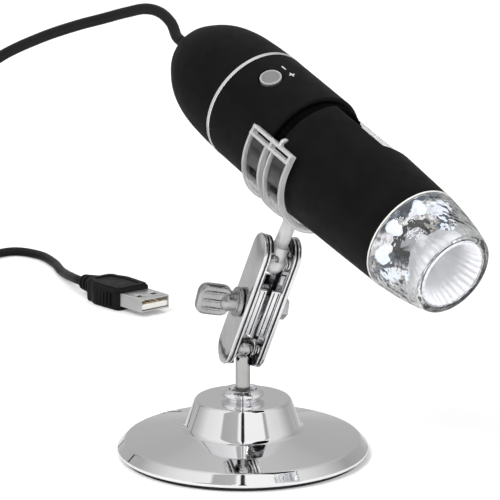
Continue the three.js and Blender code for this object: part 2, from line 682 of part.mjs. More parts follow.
const coilLow = tie.thickness + gap + cord.radius;
const coilHigh = coilLow + coil.layer;
const coilOuter = coil.middle + (coil.turns * coil.pitch) / 2;
const coilInner = coil.middle - (coil.turns * coil.pitch) / 2;

// From the gland, over and down to the coil's upper end.
function leadPoints(start, away) {
  const exit = start.clone().addScaledVector(away, gap);
  const out = exit.clone().addScaledVector(away, 2 * cord.radius);
  const free = [
    [-20.6, 40.2, 116], [-24.1, 44.2, 118.6], [-28.2, 46.6, 119.2], [-33.4, 48.5, 118],
    [-41, 50, 115.8], [-48.4, 50.4, 113.8], [-58.5, 50.5, 110.4], [-70.9, 50.5, 104.6],
    [-81, 50.3, 96.5], [-88.6, 50, 85], [-94, 49.6, 71], [-98, 49.3, 56],
    [-102, 49.2, 41], [-107, 49.2, 27], [-113.5, 49.2, 14.5], [-119.5, 49.2, 8.6],
  ];
  const points = [exit, out, ...free.map((place) => new THREE.Vector3(...place))];
  const last = new THREE.Vector3(coil.centreX + 2 * cord.radius + gap, coil.centreY - coilOuter, coilHigh);
  points.push(last.clone().setX(last.x + 2 * cord.radius), last);
  return points;
}

// From the coil's lower end, along the table and round to the plug's neck.
function tailPoints(neckEnd, away) {
  const first = new THREE.Vector3(coil.centreX + 2 * cord.radius + gap, coil.centreY + coilOuter, coilLow);
  const free = [
    [-119.5, 103, 1.9], [-111, 105.4, 1.65], [-104, 111, 1.65], [-98.5, 120, 1.65], [-96, 132, 1.65],
    [-95.8, 147, 1.65], [-96.8, 162, 1.65], [-98.4, 177, 1.65], [-99.8, 192, 1.65], [-100.4, 207, 1.65],
    [-99.6, 221, 1.65], [-95.4, 233, 1.65], [-86.4, 240.6, 1.65], [-76.8, 235, 1.65], [-70.2, 222.5, 1.65],
    [-66, 207.5, 1.9],
  ];
  const last = neckEnd.clone().addScaledVector(away, gap);
  const before = last.clone().addScaledVector(away, 2 * cord.radius);
  const next = first.clone().setX(first.x + 2 * cord.radius);
  return [first, next, ...free.map((place) => new THREE.Vector3(...place)), before, last];
}

function cordTube(points) {
  const path = new THREE.CatmullRomCurve3(points, false, 'centripetal');
  const steps = Math.round(path.getLength() / (cord.step * 2 * cord.radius));
  const section = polygon(cord.sides, cord.radius, Math.PI / cord.sides);
  const geometry = new THREE.ExtrudeGeometry(section, { steps, bevelEnabled: false, extrudePath: path });
  return { geometry, length: path.getLength() };
}

// Centres of the coil: inward on the upper layer, down in half a turn, outward on the lower one.
function coilCentres() {
  const centres = [];
  const total = Math.round((2 * coil.turns + 0.5) * coil.steps);
  const lead = 2 * cord.radius;
  const at = (radius, angle, z) => ({
    centre: new THREE.Vector3(coil.centreX + radius * Math.cos(angle), coil.centreY + radius * Math.sin(angle), z),
    outward: new THREE.Vector3(Math.cos(angle), Math.sin(angle), 0),
  });
  const first = at(coilOuter, -Math.PI / 2, coilHigh);
  centres.push({ centre: first.centre.clone().setX(coil.centreX + lead), outward: first.outward });
  for (let i = 0; i <= total; i += 1) {
    const turn = i / coil.steps;
    const angle = -Math.PI / 2 - 2 * Math.PI * turn;
    const past = turn - coil.turns;
    if (past <= 0) {
      centres.push(at(coilOuter - coil.pitch * turn, angle, coilHigh));
    } else if (past < 0.5) {
      const dip = coil.dip * Math.sin(2 * Math.PI * past);
      centres.push(at(coilInner - dip, angle, coilHigh - 2 * past * coil.layer));
    } else {
      centres.push(at(coilInner + coil.pitch * (past - 0.5), angle, coilLow));
    }
  }
  const last = at(coilOuter, Math.PI / 2, coilLow);
  centres.push({ centre: last.centre.clone().setX(coil.centreX + lead), outward: last.outward });
  return centres;
}

// A closed tube round the given centres, each ring square to the coil's direction there.
function coilTube(centres) {
  const positions = [];
  const index = [];
  const count = coil.sides;
  for (const { centre, outward } of centres) {
    for (let k = 0; k < count; k += 1) {
      const angle = (2 * Math.PI * (k + 0.5)) / count;
      const point = centre.clone().addScaledVector(outward, cord.radius * Math.cos(angle));
      point.z += cord.radius * Math.sin(angle);
      positions.push(point.x, point.y, point.z);
    }
  }
  for (let i = 0; i < centres.length - 1; i += 1) {
    for (let k = 0; k < count; k += 1) {
      const [a, b] = [i * count + k, i * count + ((k + 1) % count)];
      index.push(a, b, b + count, a, b + count, a + count);
    }
  }
  const end = (centres.length - 1) * count;
  for (let k = 1; k < count - 1; k += 1) {
    index.push(0, k + 1, k);
    index.push(end, end + k, end + k + 1);
  }
  const geometry = new THREE.BufferGeometry();
  geometry.setAttribute('position', new THREE.Float32BufferAttribute(positions, 3));
  geometry.setIndex(index);
  return geometry;
}

function pathLength(centres) {
  let length = 0;
  for (let i = 1; i < centres.length; i += 1) length += centres[i].centre.distanceTo(centres[i - 1].centre);
  return length;
}

// The least distance between two places on the coil that are over half a turn apart, less a diameter.
function leastGap(centres) {
  let least = Infinity;
  const apart = coil.steps / 2;
  for (let i = 0; i < centres.length; i += 1) {
    for (let j = i + apart; j < centres.length - 1; j += 1) {
      const segment = new THREE.Line3(centres[j].centre, centres[j + 1].centre);
      const nearest = segment.closestPointToPoint(centres[i].centre, true, new THREE.Vector3());
      least = Math.min(least, nearest.distanceTo(centres[i].centre));
    }
  }
  return least - 2 * cord.radius;
}

// The tie is a flat band closed round the coil's section, on the side away from the plug.
function coilTie() {
  const play = 2 * gap;
  const inner = coilInner - coil.dip - cord.radius - play - gap;
  const outer = coilOuter + cord.radius + play;
  const top = coilHigh + cord.radius + gap;
  const ringOutline = (margin) => {
    const shape = new THREE.Shape();
    const [x0, x1, z0, z1] = [inner - margin, outer + margin, tie.thickness - margin, top + margin];
    shape.moveTo(x0, z0);
    shape.lineTo(x1, z0);
    shape.lineTo(x1, z1);
    shape.lineTo(x0, z1);
    return shape;
  };
  const outline = ringOutline(tie.thickness);
  outline.holes.push(ringOutline(0));
  const band = slab(outline, -tie.width / 2, tie.width / 2).rotateX(Math.PI / 2);
  return band.rotateZ(Math.PI).translate(coil.centreX, coil.centreY, 0);
}

function makeCord(glandEnd, glandAway, neckEnd, neckAway) {
  const group = new THREE.Group();
  const lead = cordTube(leadPoints(glandEnd, glandAway));
  const tail = cordTube(tailPoints(neckEnd, neckAway));
  const centres = coilCentres();
  group.add(named('cord_lead', lead.geometry, rubber));
  group.add(named('cord_coil', coilTube(centres), rubber));
  group.add(named('cord_tail', tail.geometry, rubber));
  group.add(named('coil_tie', coilTie(), darkPlastic));
  const coiled = pathLength(centres);
  const length = lead.length + coiled + tail.length;
  console.log(`cord ${length.toFixed(1)} of ${cord.length} mm, lead ${lead.length.toFixed(1)}, coil ${coiled.toFixed(1)}`);
  console.log(`coil's least gap ${leastGap(centres).toFixed(2)} mm`);
  return group;
}

// Plug, with X towards its tip and its underside on the table

function makePlug() {
  const frame = new THREE.Group();
  frame.position.set(plug.x, plug.y, 0);
  aim(frame, plug.heading, 0, 0);
  const middle = grip.height / 2;
  const [halfFront, halfRear] = [grip.width / 2, grip.rear / 2];
  const rear = -grip.length;
  const shoulder = -(grip.length - grip.shoulder);
  const outline = new THREE.Shape();
  outline.moveTo(-grip.corner, -halfFront + grip.corner / 2);
  outline.lineTo(0, -halfFront + grip.corner);
  outline.lineTo(0, halfFront - grip.corner);
  outline.lineTo(-grip.corner, halfFront - grip.corner / 2);
  outline.lineTo(shoulder, halfFront);
  outline.lineTo(shoulder - grip.corner, halfRear);
  outline.lineTo(rear + grip.corner, halfRear);
  outline.lineTo(rear, halfRear - grip.corner);
  outline.lineTo(rear, grip.corner - halfRear);
  outline.lineTo(rear + grip.corner, -halfRear);
  outline.lineTo(shoulder - grip.corner, -halfRear);
  outline.lineTo(shoulder, -halfFront);
  const block = slab(outline, 0, grip.height);
  const pocketWidth = shell.width + 2 * gap;
  const pocketHeight = shell.height + 2 * gap;
  const pocket = box(2 * (shell.buried + gap), pocketWidth, pocketHeight, 0, 0, middle);
  const edgeCuts = [];
  for (const side of [-1, 1]) {
    for (const level of [0, grip.height]) {
      const edge = box(3 * grip.length, grip.edge * 2, grip.edge * 2, 0, 0, 0).rotateX(Math.PI / 4);
      edgeCuts.push(edge.translate(0, side * (halfFront + gap), level));
    }
  }
  frame.add(named('plug_grip', joined(block, [], [pocket, ...edgeCuts]), rubber));

  const neckStart = rear - gap;
  const profile = [];
  const rings = neck.rings;
  for (let i = 0; i < rings; i += 1) {
    const radiusAt = (share) => neck.front + (neck.rear - neck.front) * share;
    const ringShare = 0.62;
    const [from, to] = [i / rings, (i + ringShare) / rings];
    profile.push([radiusAt(from), neck.length * from], [radiusAt(to), neck.length * to]);
    if (i < rings - 1) {
      profile.push([radiusAt(to) - neck.groove, neck.length * to]);
      profile.push([radiusAt((i + 1) / rings) - neck.groove, (neck.length * (i + 1)) / rings]);
    }
  }
  const ribbed = turned([[0, 0], ...profile, [0, profile[profile.length - 1][1]]], sides.plain);
  frame.add(named('plug_neck', alongX(ribbed).rotateZ(Math.PI).translate(neckStart, 0, middle), rubber));
  const neckLength = profile[profile.length - 1][1];

  const shellLength = shell.exposed + shell.buried;
  const shellMiddle = (shell.exposed - shell.buried) / 2;
  const hollowLength = shellLength - shell.sheet;
  const hollow = box(hollowLength + overrun, shell.width - 2 * shell.sheet, shell.height - 2 * shell.sheet,
    shellMiddle + (shell.sheet + overrun) / 2, 0, middle);
  const windows = [-1, 1].map((side) => box(shell.windowSpan, shell.window, 2 * shell.height,
    shell.exposed - shell.windowSetback, (side * shell.width) / 4, middle));
  const can = box(shellLength, shell.width, shell.height, shellMiddle, 0, middle);
  frame.add(named('plug_shell', joined(can, [], [hollow, ...windows]), chrome));

  const tongueEnd = shell.exposed - shell.sheet;
  const tongueLow = middle - shell.height / 2 + shell.sheet + gap;
  const tongueLength = tongue.length + shell.buried - shell.sheet - gap;
  frame.add(named('plug_tongue', box(tongueLength, tongue.width, tongue.height,
    tongueEnd - tongueLength / 2, 0, tongueLow + tongue.height / 2), white));
  for (let i = 0; i < contact.count; i += 1) {
    const y = (i - (contact.count - 1) / 2) * contact.pitch;
    const z = tongueLow + tongue.height + contact.height / 2;
    const x = tongueEnd - contact.width / 2 - contact.length / 2;
    frame.add(named(`plug_contact_${i + 1}`, box(contact.length, contact.width, contact.height, x, y, z), gold));
  }
  frame.updateMatrixWorld(true);
  const end = frame.localToWorld(new THREE.Vector3(neckStart - neckLength, 0, middle));
  const away = new THREE.Vector3(-1, 0, 0).applyQuaternion(frame.quaternion);
  return { frame, end, away };
}

const microscopeWithStand = new THREE.Group();
const clampFrame = makeClamp();
const scopeFrame = makeMicroscope(clampFrame);
const plugParts = makePlug();
const glandEnd = scopeFrame.localToWorld(new THREE.Vector3(0, 0, glandTip));
const glandAway = new THREE.Vector3(0, 0, -1).applyQuaternion(scopeFrame.quaternion);
microscopeWithStand.add(makeStand(), clampFrame, scopeFrame, plugParts.frame);
microscopeWithStand.add(makeCord(glandEnd, glandAway, plugParts.end, plugParts.away));

export default microscopeWithStand;
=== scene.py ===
import bmesh
import bpy
import numpy as np
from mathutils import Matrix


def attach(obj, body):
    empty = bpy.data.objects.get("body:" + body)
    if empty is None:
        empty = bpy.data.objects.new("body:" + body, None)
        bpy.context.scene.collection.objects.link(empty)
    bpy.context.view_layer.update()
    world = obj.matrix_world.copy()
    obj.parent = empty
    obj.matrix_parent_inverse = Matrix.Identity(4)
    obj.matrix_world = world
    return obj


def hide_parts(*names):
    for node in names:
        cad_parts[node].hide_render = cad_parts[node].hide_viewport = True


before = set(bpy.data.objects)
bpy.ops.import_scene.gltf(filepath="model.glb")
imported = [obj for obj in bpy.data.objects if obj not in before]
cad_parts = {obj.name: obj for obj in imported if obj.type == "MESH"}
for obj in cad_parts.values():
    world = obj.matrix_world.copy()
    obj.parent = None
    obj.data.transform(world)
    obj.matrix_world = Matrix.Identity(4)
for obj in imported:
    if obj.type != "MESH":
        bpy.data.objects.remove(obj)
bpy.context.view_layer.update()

mm = 0.001


def pick(sizes, names):
    # The values that a piece's dict has under these names.
    return [sizes[name] for name in names.split()]


# Places. A place is a rotation and an origin in millimetres in the row frame.

def turnAbout(axis, degrees):
    # The rotation matrix about Z or Y.
    c, s = np.cos(np.radians(degrees)), np.sin(np.radians(degrees))
    if axis == "z":
        return np.array([[c, -s, 0], [s, c, 0], [0, 0, 1]])
    return np.array([[c, 0, s], [0, 1, 0], [-s, 0, c]])


def makePlace(turns, origin):
    # Rotation = Rz(heading) Ry(lean) Rz(twist).
    heading, lean, twist = turns
    return turnAbout("z", heading) @ turnAbout("y", lean) @ turnAbout("z", twist), np.array(origin, float)


def carried(point, place):
    # Row point = rotation . point + origin, in millimetres.
    return place[1] + place[0] @ np.array(point, float)


def placeAlong(place, origin, axis=(1, 0, 0), start=(0, 1, 0)):
    # A place inside another: its Z lies along axis, and its X is the part of start square to that.
    z = np.array(axis, float) / np.linalg.norm(axis)
    x = np.array(start, float) - z * np.dot(start, z)
    x /= np.linalg.norm(x)
    return place[0] @ np.stack([x, np.cross(z, x), z], 1), carried(origin, place)


def toRow(points, place):
    # As carried, for an array of points, in metres.
    return (np.asarray(points, float) @ place[0].T + place[1]) * mm


clampSizes = {"turns": (-46, 24.9, -117.6), "ballHeight": 31.1, "spacing": 29, "crown": 2.4}
scopeSizes = {"turns": (-52.6, 111.4, -9.5), "reach": 32.8, "station": 28}
plugSizes = {"turns": (-50, 0, 0), "place": (-37.8, 161.6, 0)}
table = makePlace((0, 0, 0), (0, 0, 0))
clampPlace = makePlace(clampSizes["turns"], (0, 0, clampSizes["ballHeight"]))
holderPoint = (scopeSizes["reach"], 0, scopeSizes["station"])
scopeRotation = makePlace(scopeSizes["turns"], (0, 0, 0))[0]
upperBall = carried((0, 0, clampSizes["spacing"]), clampPlace)
scopePlace = (scopeRotation, upperBall - scopeRotation @ np.array(holderPoint))
plugPlace = makePlace(plugSizes["turns"], plugSizes["place"])


# Lines

def rounded(outline, radii, steps=5, closed=False):
    # Each corner becomes the parabola (1-t)^2 a + 2t(1-t) corner + t^2 b, with a point just outside a and b.
    most, outside = 0.42, 0.15
    points = np.array(outline, float)
    count = len(points)
    radii = np.broadcast_to(np.array(radii, float), (count,))
    t = np.linspace(0, 1, steps + 1)[:, None]
    made = []
    for i in range(count):
        if (not closed and i in (0, count - 1)) or radii[i] == 0:
            made.append(points[i][None])
            continue
        here = points[i]
        back, ahead = points[i - 1] - here, points[(i + 1) % count] - here
        lengthBack, lengthAhead = np.linalg.norm(back), np.linalg.norm(ahead)
        reach = min(radii[i], most * lengthBack, most * lengthAhead)
        start, end = here + back / lengthBack * reach, here + ahead / lengthAhead * reach
        curve = (1 - t) ** 2 * start + 2 * t * (1 - t) * here + t ** 2 * end
        before = start + back / lengthBack * outside * reach
        after = end + ahead / lengthAhead * outside * reach
        made += [before[None], curve, after[None]]
    made = np.vstack(made)
    return np.vstack([made, made[:1]]) if closed else made


def roundedLoop(outline, radii, steps=4):
    # As rounded, for a closed outline whose first point isn't repeated.
    return rounded(outline, radii, steps, closed=True)[:-1]


def evenly(path, step):
    # The same line with points an even step apart.
    length = np.r_[0, np.cumsum(np.linalg.norm(np.diff(path, axis=0), axis=1))]
    places = np.linspace(0, length[-1], max(2, int(round(length[-1] / step)) + 1))
    return np.stack([np.interp(places, length, values) for values in path.T], 1)


def smoothThrough(points, step):
    # The centripetal Catmull-Rom curve through the points, its ends mirrored.
    p = np.array(points, float)
    p = np.vstack([2 * p[0] - p[1], p, 2 * p[-1] - p[-2]])
    made = []
    for a, b, c, d in zip(p[:-3], p[1:-2], p[2:-1], p[3:]):
        t1 = np.linalg.norm(b - a) ** 0.5
        t2 = t1 + np.linalg.norm(c - b) ** 0.5
        t3 = t2 + np.linalg.norm(d - c) ** 0.5
        t = np.linspace(t1, t2, 24, endpoint=False)[:, None]
        ab, bc = a + (b - a) * t / t1, b + (c - b) * (t - t1) / (t2 - t1)
        cd = c + (d - c) * (t - t2) / (t3 - t2)
        left, right = ab + (bc - ab) * t / t2, bc + (cd - bc) * (t - t1) / (t3 - t1)
        made.append(left + (right - left) * (t - t1) / (t2 - t1))
    return evenly(np.vstack(made + [p[-2:-1]]), step)


def circlePoints(radius, angle):
    # (radius cos a, radius sin a), a row for each angle.
    return np.c_[radius * np.cos(angle), radius * np.sin(angle)]


def sphereLine(radius, height, start, end, steps=24):
    # (r sin t, h - r cos t) from one polar angle to another, in degrees, and exactly on the axis at 180.
    t = np.radians(np.linspace(start, end, steps))
    line = np.c_[radius * np.sin(t), height - radius * np.cos(t)]
    line[t == np.pi, 0] = 0
    return line


def box(left, right, low, high):
    # Four corners, anticlockwise.
    return [(left, low), (right, low), (right, high), (left, high)]


def bandLine(inner, outer, low, high, corner, steps=4):
    # A ring's section with its two outer corners rounded.
    return rounded(box(inner, outer, low, high) + [(inner, low)], (0, corner, corner, 0, 0), steps)


def stadium(halfWidth, length):
    # Two half circles round (0, 0) and (0, length), joined by straight sides, anticlockwise.
    top = circlePoints(halfWidth, np.linspace(0, np.pi, 40))
    bottom = -top
    top = top + (0, length)
    share = np.linspace(0.03, 0.97, 16)[:, None]
    left, right = top[-1] + (bottom[0] - top[-1]) * share, bottom[-1] + (top[0] - bottom[-1]) * share
    return np.vstack([top, left, bottom, right])


def roundRectangle(width, height, corner, steps=3):
    # Corners at half the width and height from the middle, each of them rounded.
    x, y = width / 2, height / 2
    return roundedLoop([(x, -y), (x, y), (-x, y), (-x, -y)], corner, steps)


def arcSector(inner, outer, start, end, corner, step=4):
    # The region between two radii and two angles, in degrees, with rounded corners.
    count = max(3, int(abs(end - start) / step) + 2)
    angle = np.radians(np.linspace(start, end, count))
    radii = np.zeros(2 * count)
    radii[[0, count - 1, count, 2 * count - 1]] = corner
    return roundedLoop(np.vstack([circlePoints(inner, angle), circlePoints(outer, angle)[::-1]]), radii)


def insetBy(outline, depth):
    # Each point moves by depth along the mean of its two edges' inward normals, on an anticlockwise outline.
    ahead = np.roll(outline, -1, 0) - outline
    normal = np.stack([-ahead[:, 1], ahead[:, 0]], 1)
    normal /= np.linalg.norm(normal, axis=1, keepdims=True) + 1e-12
    mean = normal + np.roll(normal, 1, 0)
    mean /= np.linalg.norm(mean, axis=1, keepdims=True) + 1e-12
    return outline + mean * depth


def anticlockwise(outline):
    # Twice the area is the sum of x dy - y dx.
    outline = np.array(outline, float)
    after = np.roll(outline, -1, 0)
    area = np.sum(outline[:, 0] * after[:, 1] - outline[:, 1] * after[:, 0])
    return outline if area > 0 else outline[::-1]


# Surfaces. A surface is its points in metres, its four-cornered faces and their UVs.

def gridSurface(grid, cut=None):
    # Rows go along and columns round: point(i, j) joins (i, j+1), (i+1, j+1) and (i+1, j), but not in cut.
    rows, cols = grid.shape[:2]
    r, c = np.meshgrid(np.arange(rows - 1), np.arange(cols), indexing="ij")
    after = (c + 1) % cols
    corners = [r * cols + c, r * cols + after, (r + 1) * cols + after, (r + 1) * cols + c]
    faces = np.stack(corners, -1).reshape(-1, 4)
    u = np.stack([c, c + 1, c + 1, c], -1) / cols
    v = np.stack([r, r, r + 1, r + 1], -1) / (rows - 1)
    uvs = np.stack([u, v], -1).reshape(-1, 4, 2)
    if cut is not None:
        kept = ~cut.reshape(-1)[faces].all(1)
        faces, uvs = faces[kept], uvs[kept]
    return outward((grid.reshape(-1, 3), faces, uvs))


def outward(surface):
    # Six times the volume is the sum of a . (b x c) over the half faces; below zero the faces turn round.
    points, faces, uvs = surface
    centred = points - points.mean(0)
    a, b, c, d = (centred[faces[:, k]] for k in range(4))
    volume = np.einsum("ij,ij->", a, np.cross(b, c)) + np.einsum("ij,ij->", a, np.cross(c, d))
    return (points, faces[:, ::-1], uvs[:, ::-1]) if volume < 0 else surface


def roundAxis(radius, angle, height, place):
    # (radius cos a, radius sin a, height) in a place.
    return toRow(np.stack([radius * np.cos(angle), radius * np.sin(angle), height], -1), place)


def revolved(profile, place, count=128, wave=None, hole=None):
    # A line of radii and heights turned about Z. wave(radius, a, height) shapes it, hole(a, height) cuts it.
    profile = np.array(profile, float)
    angle = np.linspace(0, 2 * np.pi, count, endpoint=False) if np.isscalar(count) else count
    radius = np.repeat(profile[:, :1], len(angle), 1)
    height = np.repeat(profile[:, 1:], len(angle), 1)
    if wave is not None:
        radius = wave(radius, angle[None], height)
    cut = None if hole is None else hole(angle[None], height)
    return gridSurface(roundAxis(radius, angle, height, place), cut)


def raised(rings, place, lay):
    # Outlines with a height each, their three numbers put in the order of axes that lay names.
    grid = np.array([np.c_[outline, np.full(len(outline), height)] for outline, height in rings])
    orders = {"xyz": [0, 1, 2], "yzx": [2, 0, 1], "xzy": [0, 2, 1]}
    return gridSurface(toRow(grid[..., orders[lay]], place))


def sideRings(outline, low, high, edge, steps, way=1):
    # The outline's rings from low to high. Over a quarter turn at each end they are inset by e(1 - sin t)
    # where they lie e(1 - cos t) from that end, inwards or, for a hole, outwards.
    t = np.linspace(0, np.pi / 2, steps + 1)
    turn = [(insetBy(outline, way * edge * (1 - np.sin(a))), edge * (1 - np.cos(a))) for a in t]
    return [(ring, low + rise) for ring, rise in turn] + [(ring, high - rise) for ring, rise in turn[::-1]]


def plate(outline, low, high, edge, place, lay="xyz", steps=4):
    # The outline raised from low to high with quarter-round edges, and flat ends drawn to its centre.
    outline = anticlockwise(outline)
    centre, inner = outline.mean(0), insetBy(outline, edge)
    ends = [centre + (inner - centre) * share for share in (0, 0.45, 0.93)]
    sides = sideRings(outline, low, high, edge, steps)
    return raised([(end, low) for end in ends] + sides + [(end, high) for end in ends[::-1]], place, lay)


def holedPlate(outline, hole, low, high, edge, place, lay="xyz", steps=4):
    # As plate, but between an outline and a hole of as many points, so it closes on itself like a ring.
    rings = sideRings(outline, low, high, edge, steps) + sideRings(hole, low, high, edge, steps, -1)[::-1]
    return raised(rings + rings[:1], place, lay)


def swept(section, angles, place):
    # A closed section of radii and heights carried round the place's Z, its ends drawn to a point.
    section = np.array(section, float)
    middle = section.mean(0)
    rows = [middle + (section - middle) * share for share in (0, 0.9)]
    rows = np.array(rows + [section] * len(angles) + rows[::-1])
    angles = np.r_[angles[0], angles[0], angles, angles[-1], angles[-1]][:, None]
    return gridSurface(roundAxis(rows[..., 0], angles, rows[..., 1], place))


def tubeAlong(path, radius, sides):
    # path + r (side cos a + up sin a), where side is square to the path and level, its ends drawn to a point.
    along = np.gradient(path, axis=0)
    along /= np.linalg.norm(along, axis=1, keepdims=True)
    side = np.cross(along, [0, 0, 1])
    side /= np.linalg.norm(side, axis=1, keepdims=True)
    up = np.cross(side, along)
    angle = np.linspace(0, 2 * np.pi, sides, endpoint=False)[None, :, None]
    radius = np.broadcast_to(radius, (len(path),))[:, None, None]
    ring = side[:, None] * np.cos(angle) + up[:, None] * np.sin(angle)
    ends = np.repeat(path[[0, -1], None], sides, 1)
    return gridSurface(np.concatenate([ends[:1], path[:, None] + ring * radius, ends[1:]]))


def addObject(name, data):
    # An object in the scene's own collection.
    made = bpy.data.objects.new(name, data)
    bpy.context.scene.collection.objects.link(made)
    return made


def placePiece(name, mesh, finish, body, nodes):
    # A smooth mesh with its finish, on its body and in place of its solids.
    mesh.materials.clear()
    mesh.materials.append(finishes[finish])
    mesh.polygons.foreach_set("use_smooth", np.ones(len(mesh.polygons), bool))
    piece = addObject(name, mesh)
    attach(piece, body)
    if nodes:
        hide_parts(*nodes)
    return piece


def addPiece(name, surfaces, finish, body, slot, *nodes):
    # One mesh of closed surfaces: doubled points become one, and a face at a pole loses its doubled corner.
    starts = np.cumsum([0] + [len(s[0]) for s in surfaces])
    points = np.vstack([s[0] for s in surfaces])
    faces = np.vstack([s[1] + start for s, start in zip(surfaces, starts)])
    uvs = np.vstack([s[2] for s in surfaces])
    owner = np.repeat(np.arange(len(surfaces)), np.diff(starts))
    keys = np.c_[np.round(points * 1e8), owner].astype(np.int64)
    _, first, which = np.unique(keys, axis=0, return_index=True, return_inverse=True)
    points, faces = points[first], which.reshape(-1)[faces]
    kept = faces != np.roll(faces, 1, 1)
    whole = kept.sum(1) >= 3
    faces, kept, uvs = faces[whole], kept[whole], uvs[whole]
    totals = kept.sum(1)
    mesh = bpy.data.meshes.new(name)
    mesh.vertices.add(len(points))
    mesh.vertices.foreach_set("co", points.astype(np.float32).ravel())
    mesh.loops.add(int(totals.sum()))
    mesh.loops.foreach_set("vertex_index", faces[kept].astype(np.int32))
    mesh.polygons.add(len(faces))
    mesh.polygons.foreach_set("loop_start", np.r_[0, np.cumsum(totals)[:-1]].astype(np.int32))
    mesh.update(calc_edges=True)
    mesh.uv_layers.new(name="UVMap").data.foreach_set("uv", uvs[kept].astype(np.float32).ravel())
    mesh.validate()
    return placePiece(name, mesh, finish, body, nodes)


def bevelledCopy(node, width, finish, body, segments=3):
    # A copy of a solid's mesh with its flat faces joined and its sharp edges rounded.
    doubled, flatAngle, sharpAngle = 0.002 * mm, np.radians(2), np.radians(25)
    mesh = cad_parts[node].data.copy()
    edit = bmesh.new()
    edit.from_mesh(mesh)
    bmesh.ops.remove_doubles(edit, verts=edit.verts, dist=doubled)
    bmesh.ops.dissolve_limit(edit, angle_limit=flatAngle, verts=edit.verts, edges=edit.edges)
    edit.to_mesh(mesh)
    edit.free()
    piece = placePiece(node + "_finished", mesh, finish, body, [node])
    bevel = piece.modifiers.new("roundedEdges", "BEVEL")
    bevel.width = width
    bevel.segments = segments
    bevel.limit_method = "ANGLE"
    bevel.angle_limit = sharpAngle
    bevel.harden_normals = True


# Finishes. A colour is a grey, a grey with its own blue, or red, green and blue.

finishes = {}
noiseSpan = (0.35, 0.65)


def rgba(color):
    # Red, green, blue and a full alpha.
    c = np.atleast_1d(color).tolist()
    return (*{1: c * 3, 2: [c[0], *c], 3: c}[len(c)], 1)


def addNode(tree, kind, inputs=(), **settings):
    # A shader node. Each input takes a constant, set on its socket, or the output of another node.
    node = tree.nodes.new("ShaderNode" + kind)
    for name, value in settings.items():
        setattr(node, name, value)
    for socket, value in dict(inputs).items():
        if isinstance(value, bpy.types.NodeSocket):
            tree.links.new(value, node.inputs[socket])
        else:
            node.inputs[socket].default_value = value
    return node


def compute(tree, operation, *values):
    # One step of arithmetic on constants and outputs.
    return addNode(tree, "Math", enumerate(values), operation=operation).outputs[0]


def mapRange(tree, value, source, target=(0, 1)):
    # target start + target span . (value - source start) / source span, held between the target's ends.
    ends = dict(zip(("From Min", "From Max", "To Min", "To Max"), (*source, *target)))
    return addNode(tree, "MapRange", {"Value": value, **ends}).outputs["Result"]


def feed(material, socket, output):
    # An output drives one socket of the material's shader.
    tree = material.node_tree
    tree.links.new(output, tree.nodes["Principled BSDF"].inputs[socket])


def position(tree, kind):
    # X, Y and Z of one of the texture coordinates.
    return addNode(tree, "SeparateXYZ", {0: addNode(tree, "TexCoord").outputs[kind]}).outputs


def newMaterial(name, color, roughness, **sockets):
    # A shader with constants on its sockets, kept under its name.
    material = finishes[name] = bpy.data.materials.new(name)
    material.use_nodes = True
    shader = material.node_tree.nodes["Principled BSDF"]
    for socket, value in {"Base_Color": rgba(color), "Roughness": roughness, **sockets}.items():
        shader.inputs[socket.replace("_", " ")].default_value = value
    return material


def noise(material, scale, detail=3, roughness=0.5):
    # Fractal noise in the object's own metres: scale features a metre, with finer ones added detail times.
    tree = material.node_tree
    sizes = {"Scale": scale, "Detail": detail, "Roughness": roughness}
    spot = addNode(tree, "TexCoord").outputs["Object"]
    return addNode(tree, "TexNoise", {"Vector": spot, **sizes}).outputs["Fac"]


def varyColor(material, amount, low, high, between=noiseSpan, socket="Base Color"):
    # One of the shader's colours runs from low to high while the noise runs between two values.
    ramp = addNode(material.node_tree, "ValToRGB", {"Fac": amount})
    for stop, at, color in zip(ramp.color_ramp.elements, between, (low, high)):
        stop.position, stop.color = at, rgba(color)
    feed(material, socket, ramp.outputs["Color"])
    return ramp


def varyRoughness(material, amount, low, high):
    # The roughness runs from low to high over the same part of the noise.
    feed(material, "Roughness", mapRange(material.node_tree, amount, noiseSpan, (low, high)))


def addBump(material, amount, strength, distance):
    # The noise as a height of up to distance, in metres, that tilts the shading.
    bump = addNode(material.node_tree, "Bump", {"Height": amount, "Strength": strength, "Distance": distance})
    feed(material, "Normal", bump.outputs["Normal"])


def metalFinish(name, color, dark, roughness, spread, wobble=0, wobbleScale=0, metallic=1):
    # Plated metal: a faint cloud in its tint, smears in its gloss and, where cast, a slow unevenness.
    material = newMaterial(name, color, roughness, Metallic=metallic)
    varyColor(material, noise(material, 120, 4, 0.6), dark, color)
    varyRoughness(material, noise(material, 900, 5, 0.65), roughness, roughness + spread)
    if wobble:
        addBump(material, noise(material, wobbleScale, 2), 0.5, wobble)


def plasticFinish(name, color, lift, roughness, spread, grain, depth, shine=0.5):
    # Moulded plastic or rubber: a fine even grain in its height and a slow change in its tint and gloss.
    material = newMaterial(name, color, roughness, Specular_IOR_Level=shine)
    varyColor(material, noise(material, 160, 3, 0.6), color, lift)
    varyRoughness(material, noise(material, 350), roughness, roughness + spread)
    addBump(material, noise(material, grain, 2), 0.35, depth)
    return material


def clearFinish(name, color, roughness, spread, wobble, clear=1, **sockets):
    # Clear moulding: a slow flow in its surface and faint smears.
    material = newMaterial(name, color, roughness, IOR=1.49, Transmission_Weight=clear, **sockets)
    varyRoughness(material, noise(material, 260), roughness, roughness + spread)
    varyColor(material, noise(material, 90, 2), color, 0.97 * np.array(color))
    addBump(material, noise(material, 220, 2), 0.4, wobble)
    return material


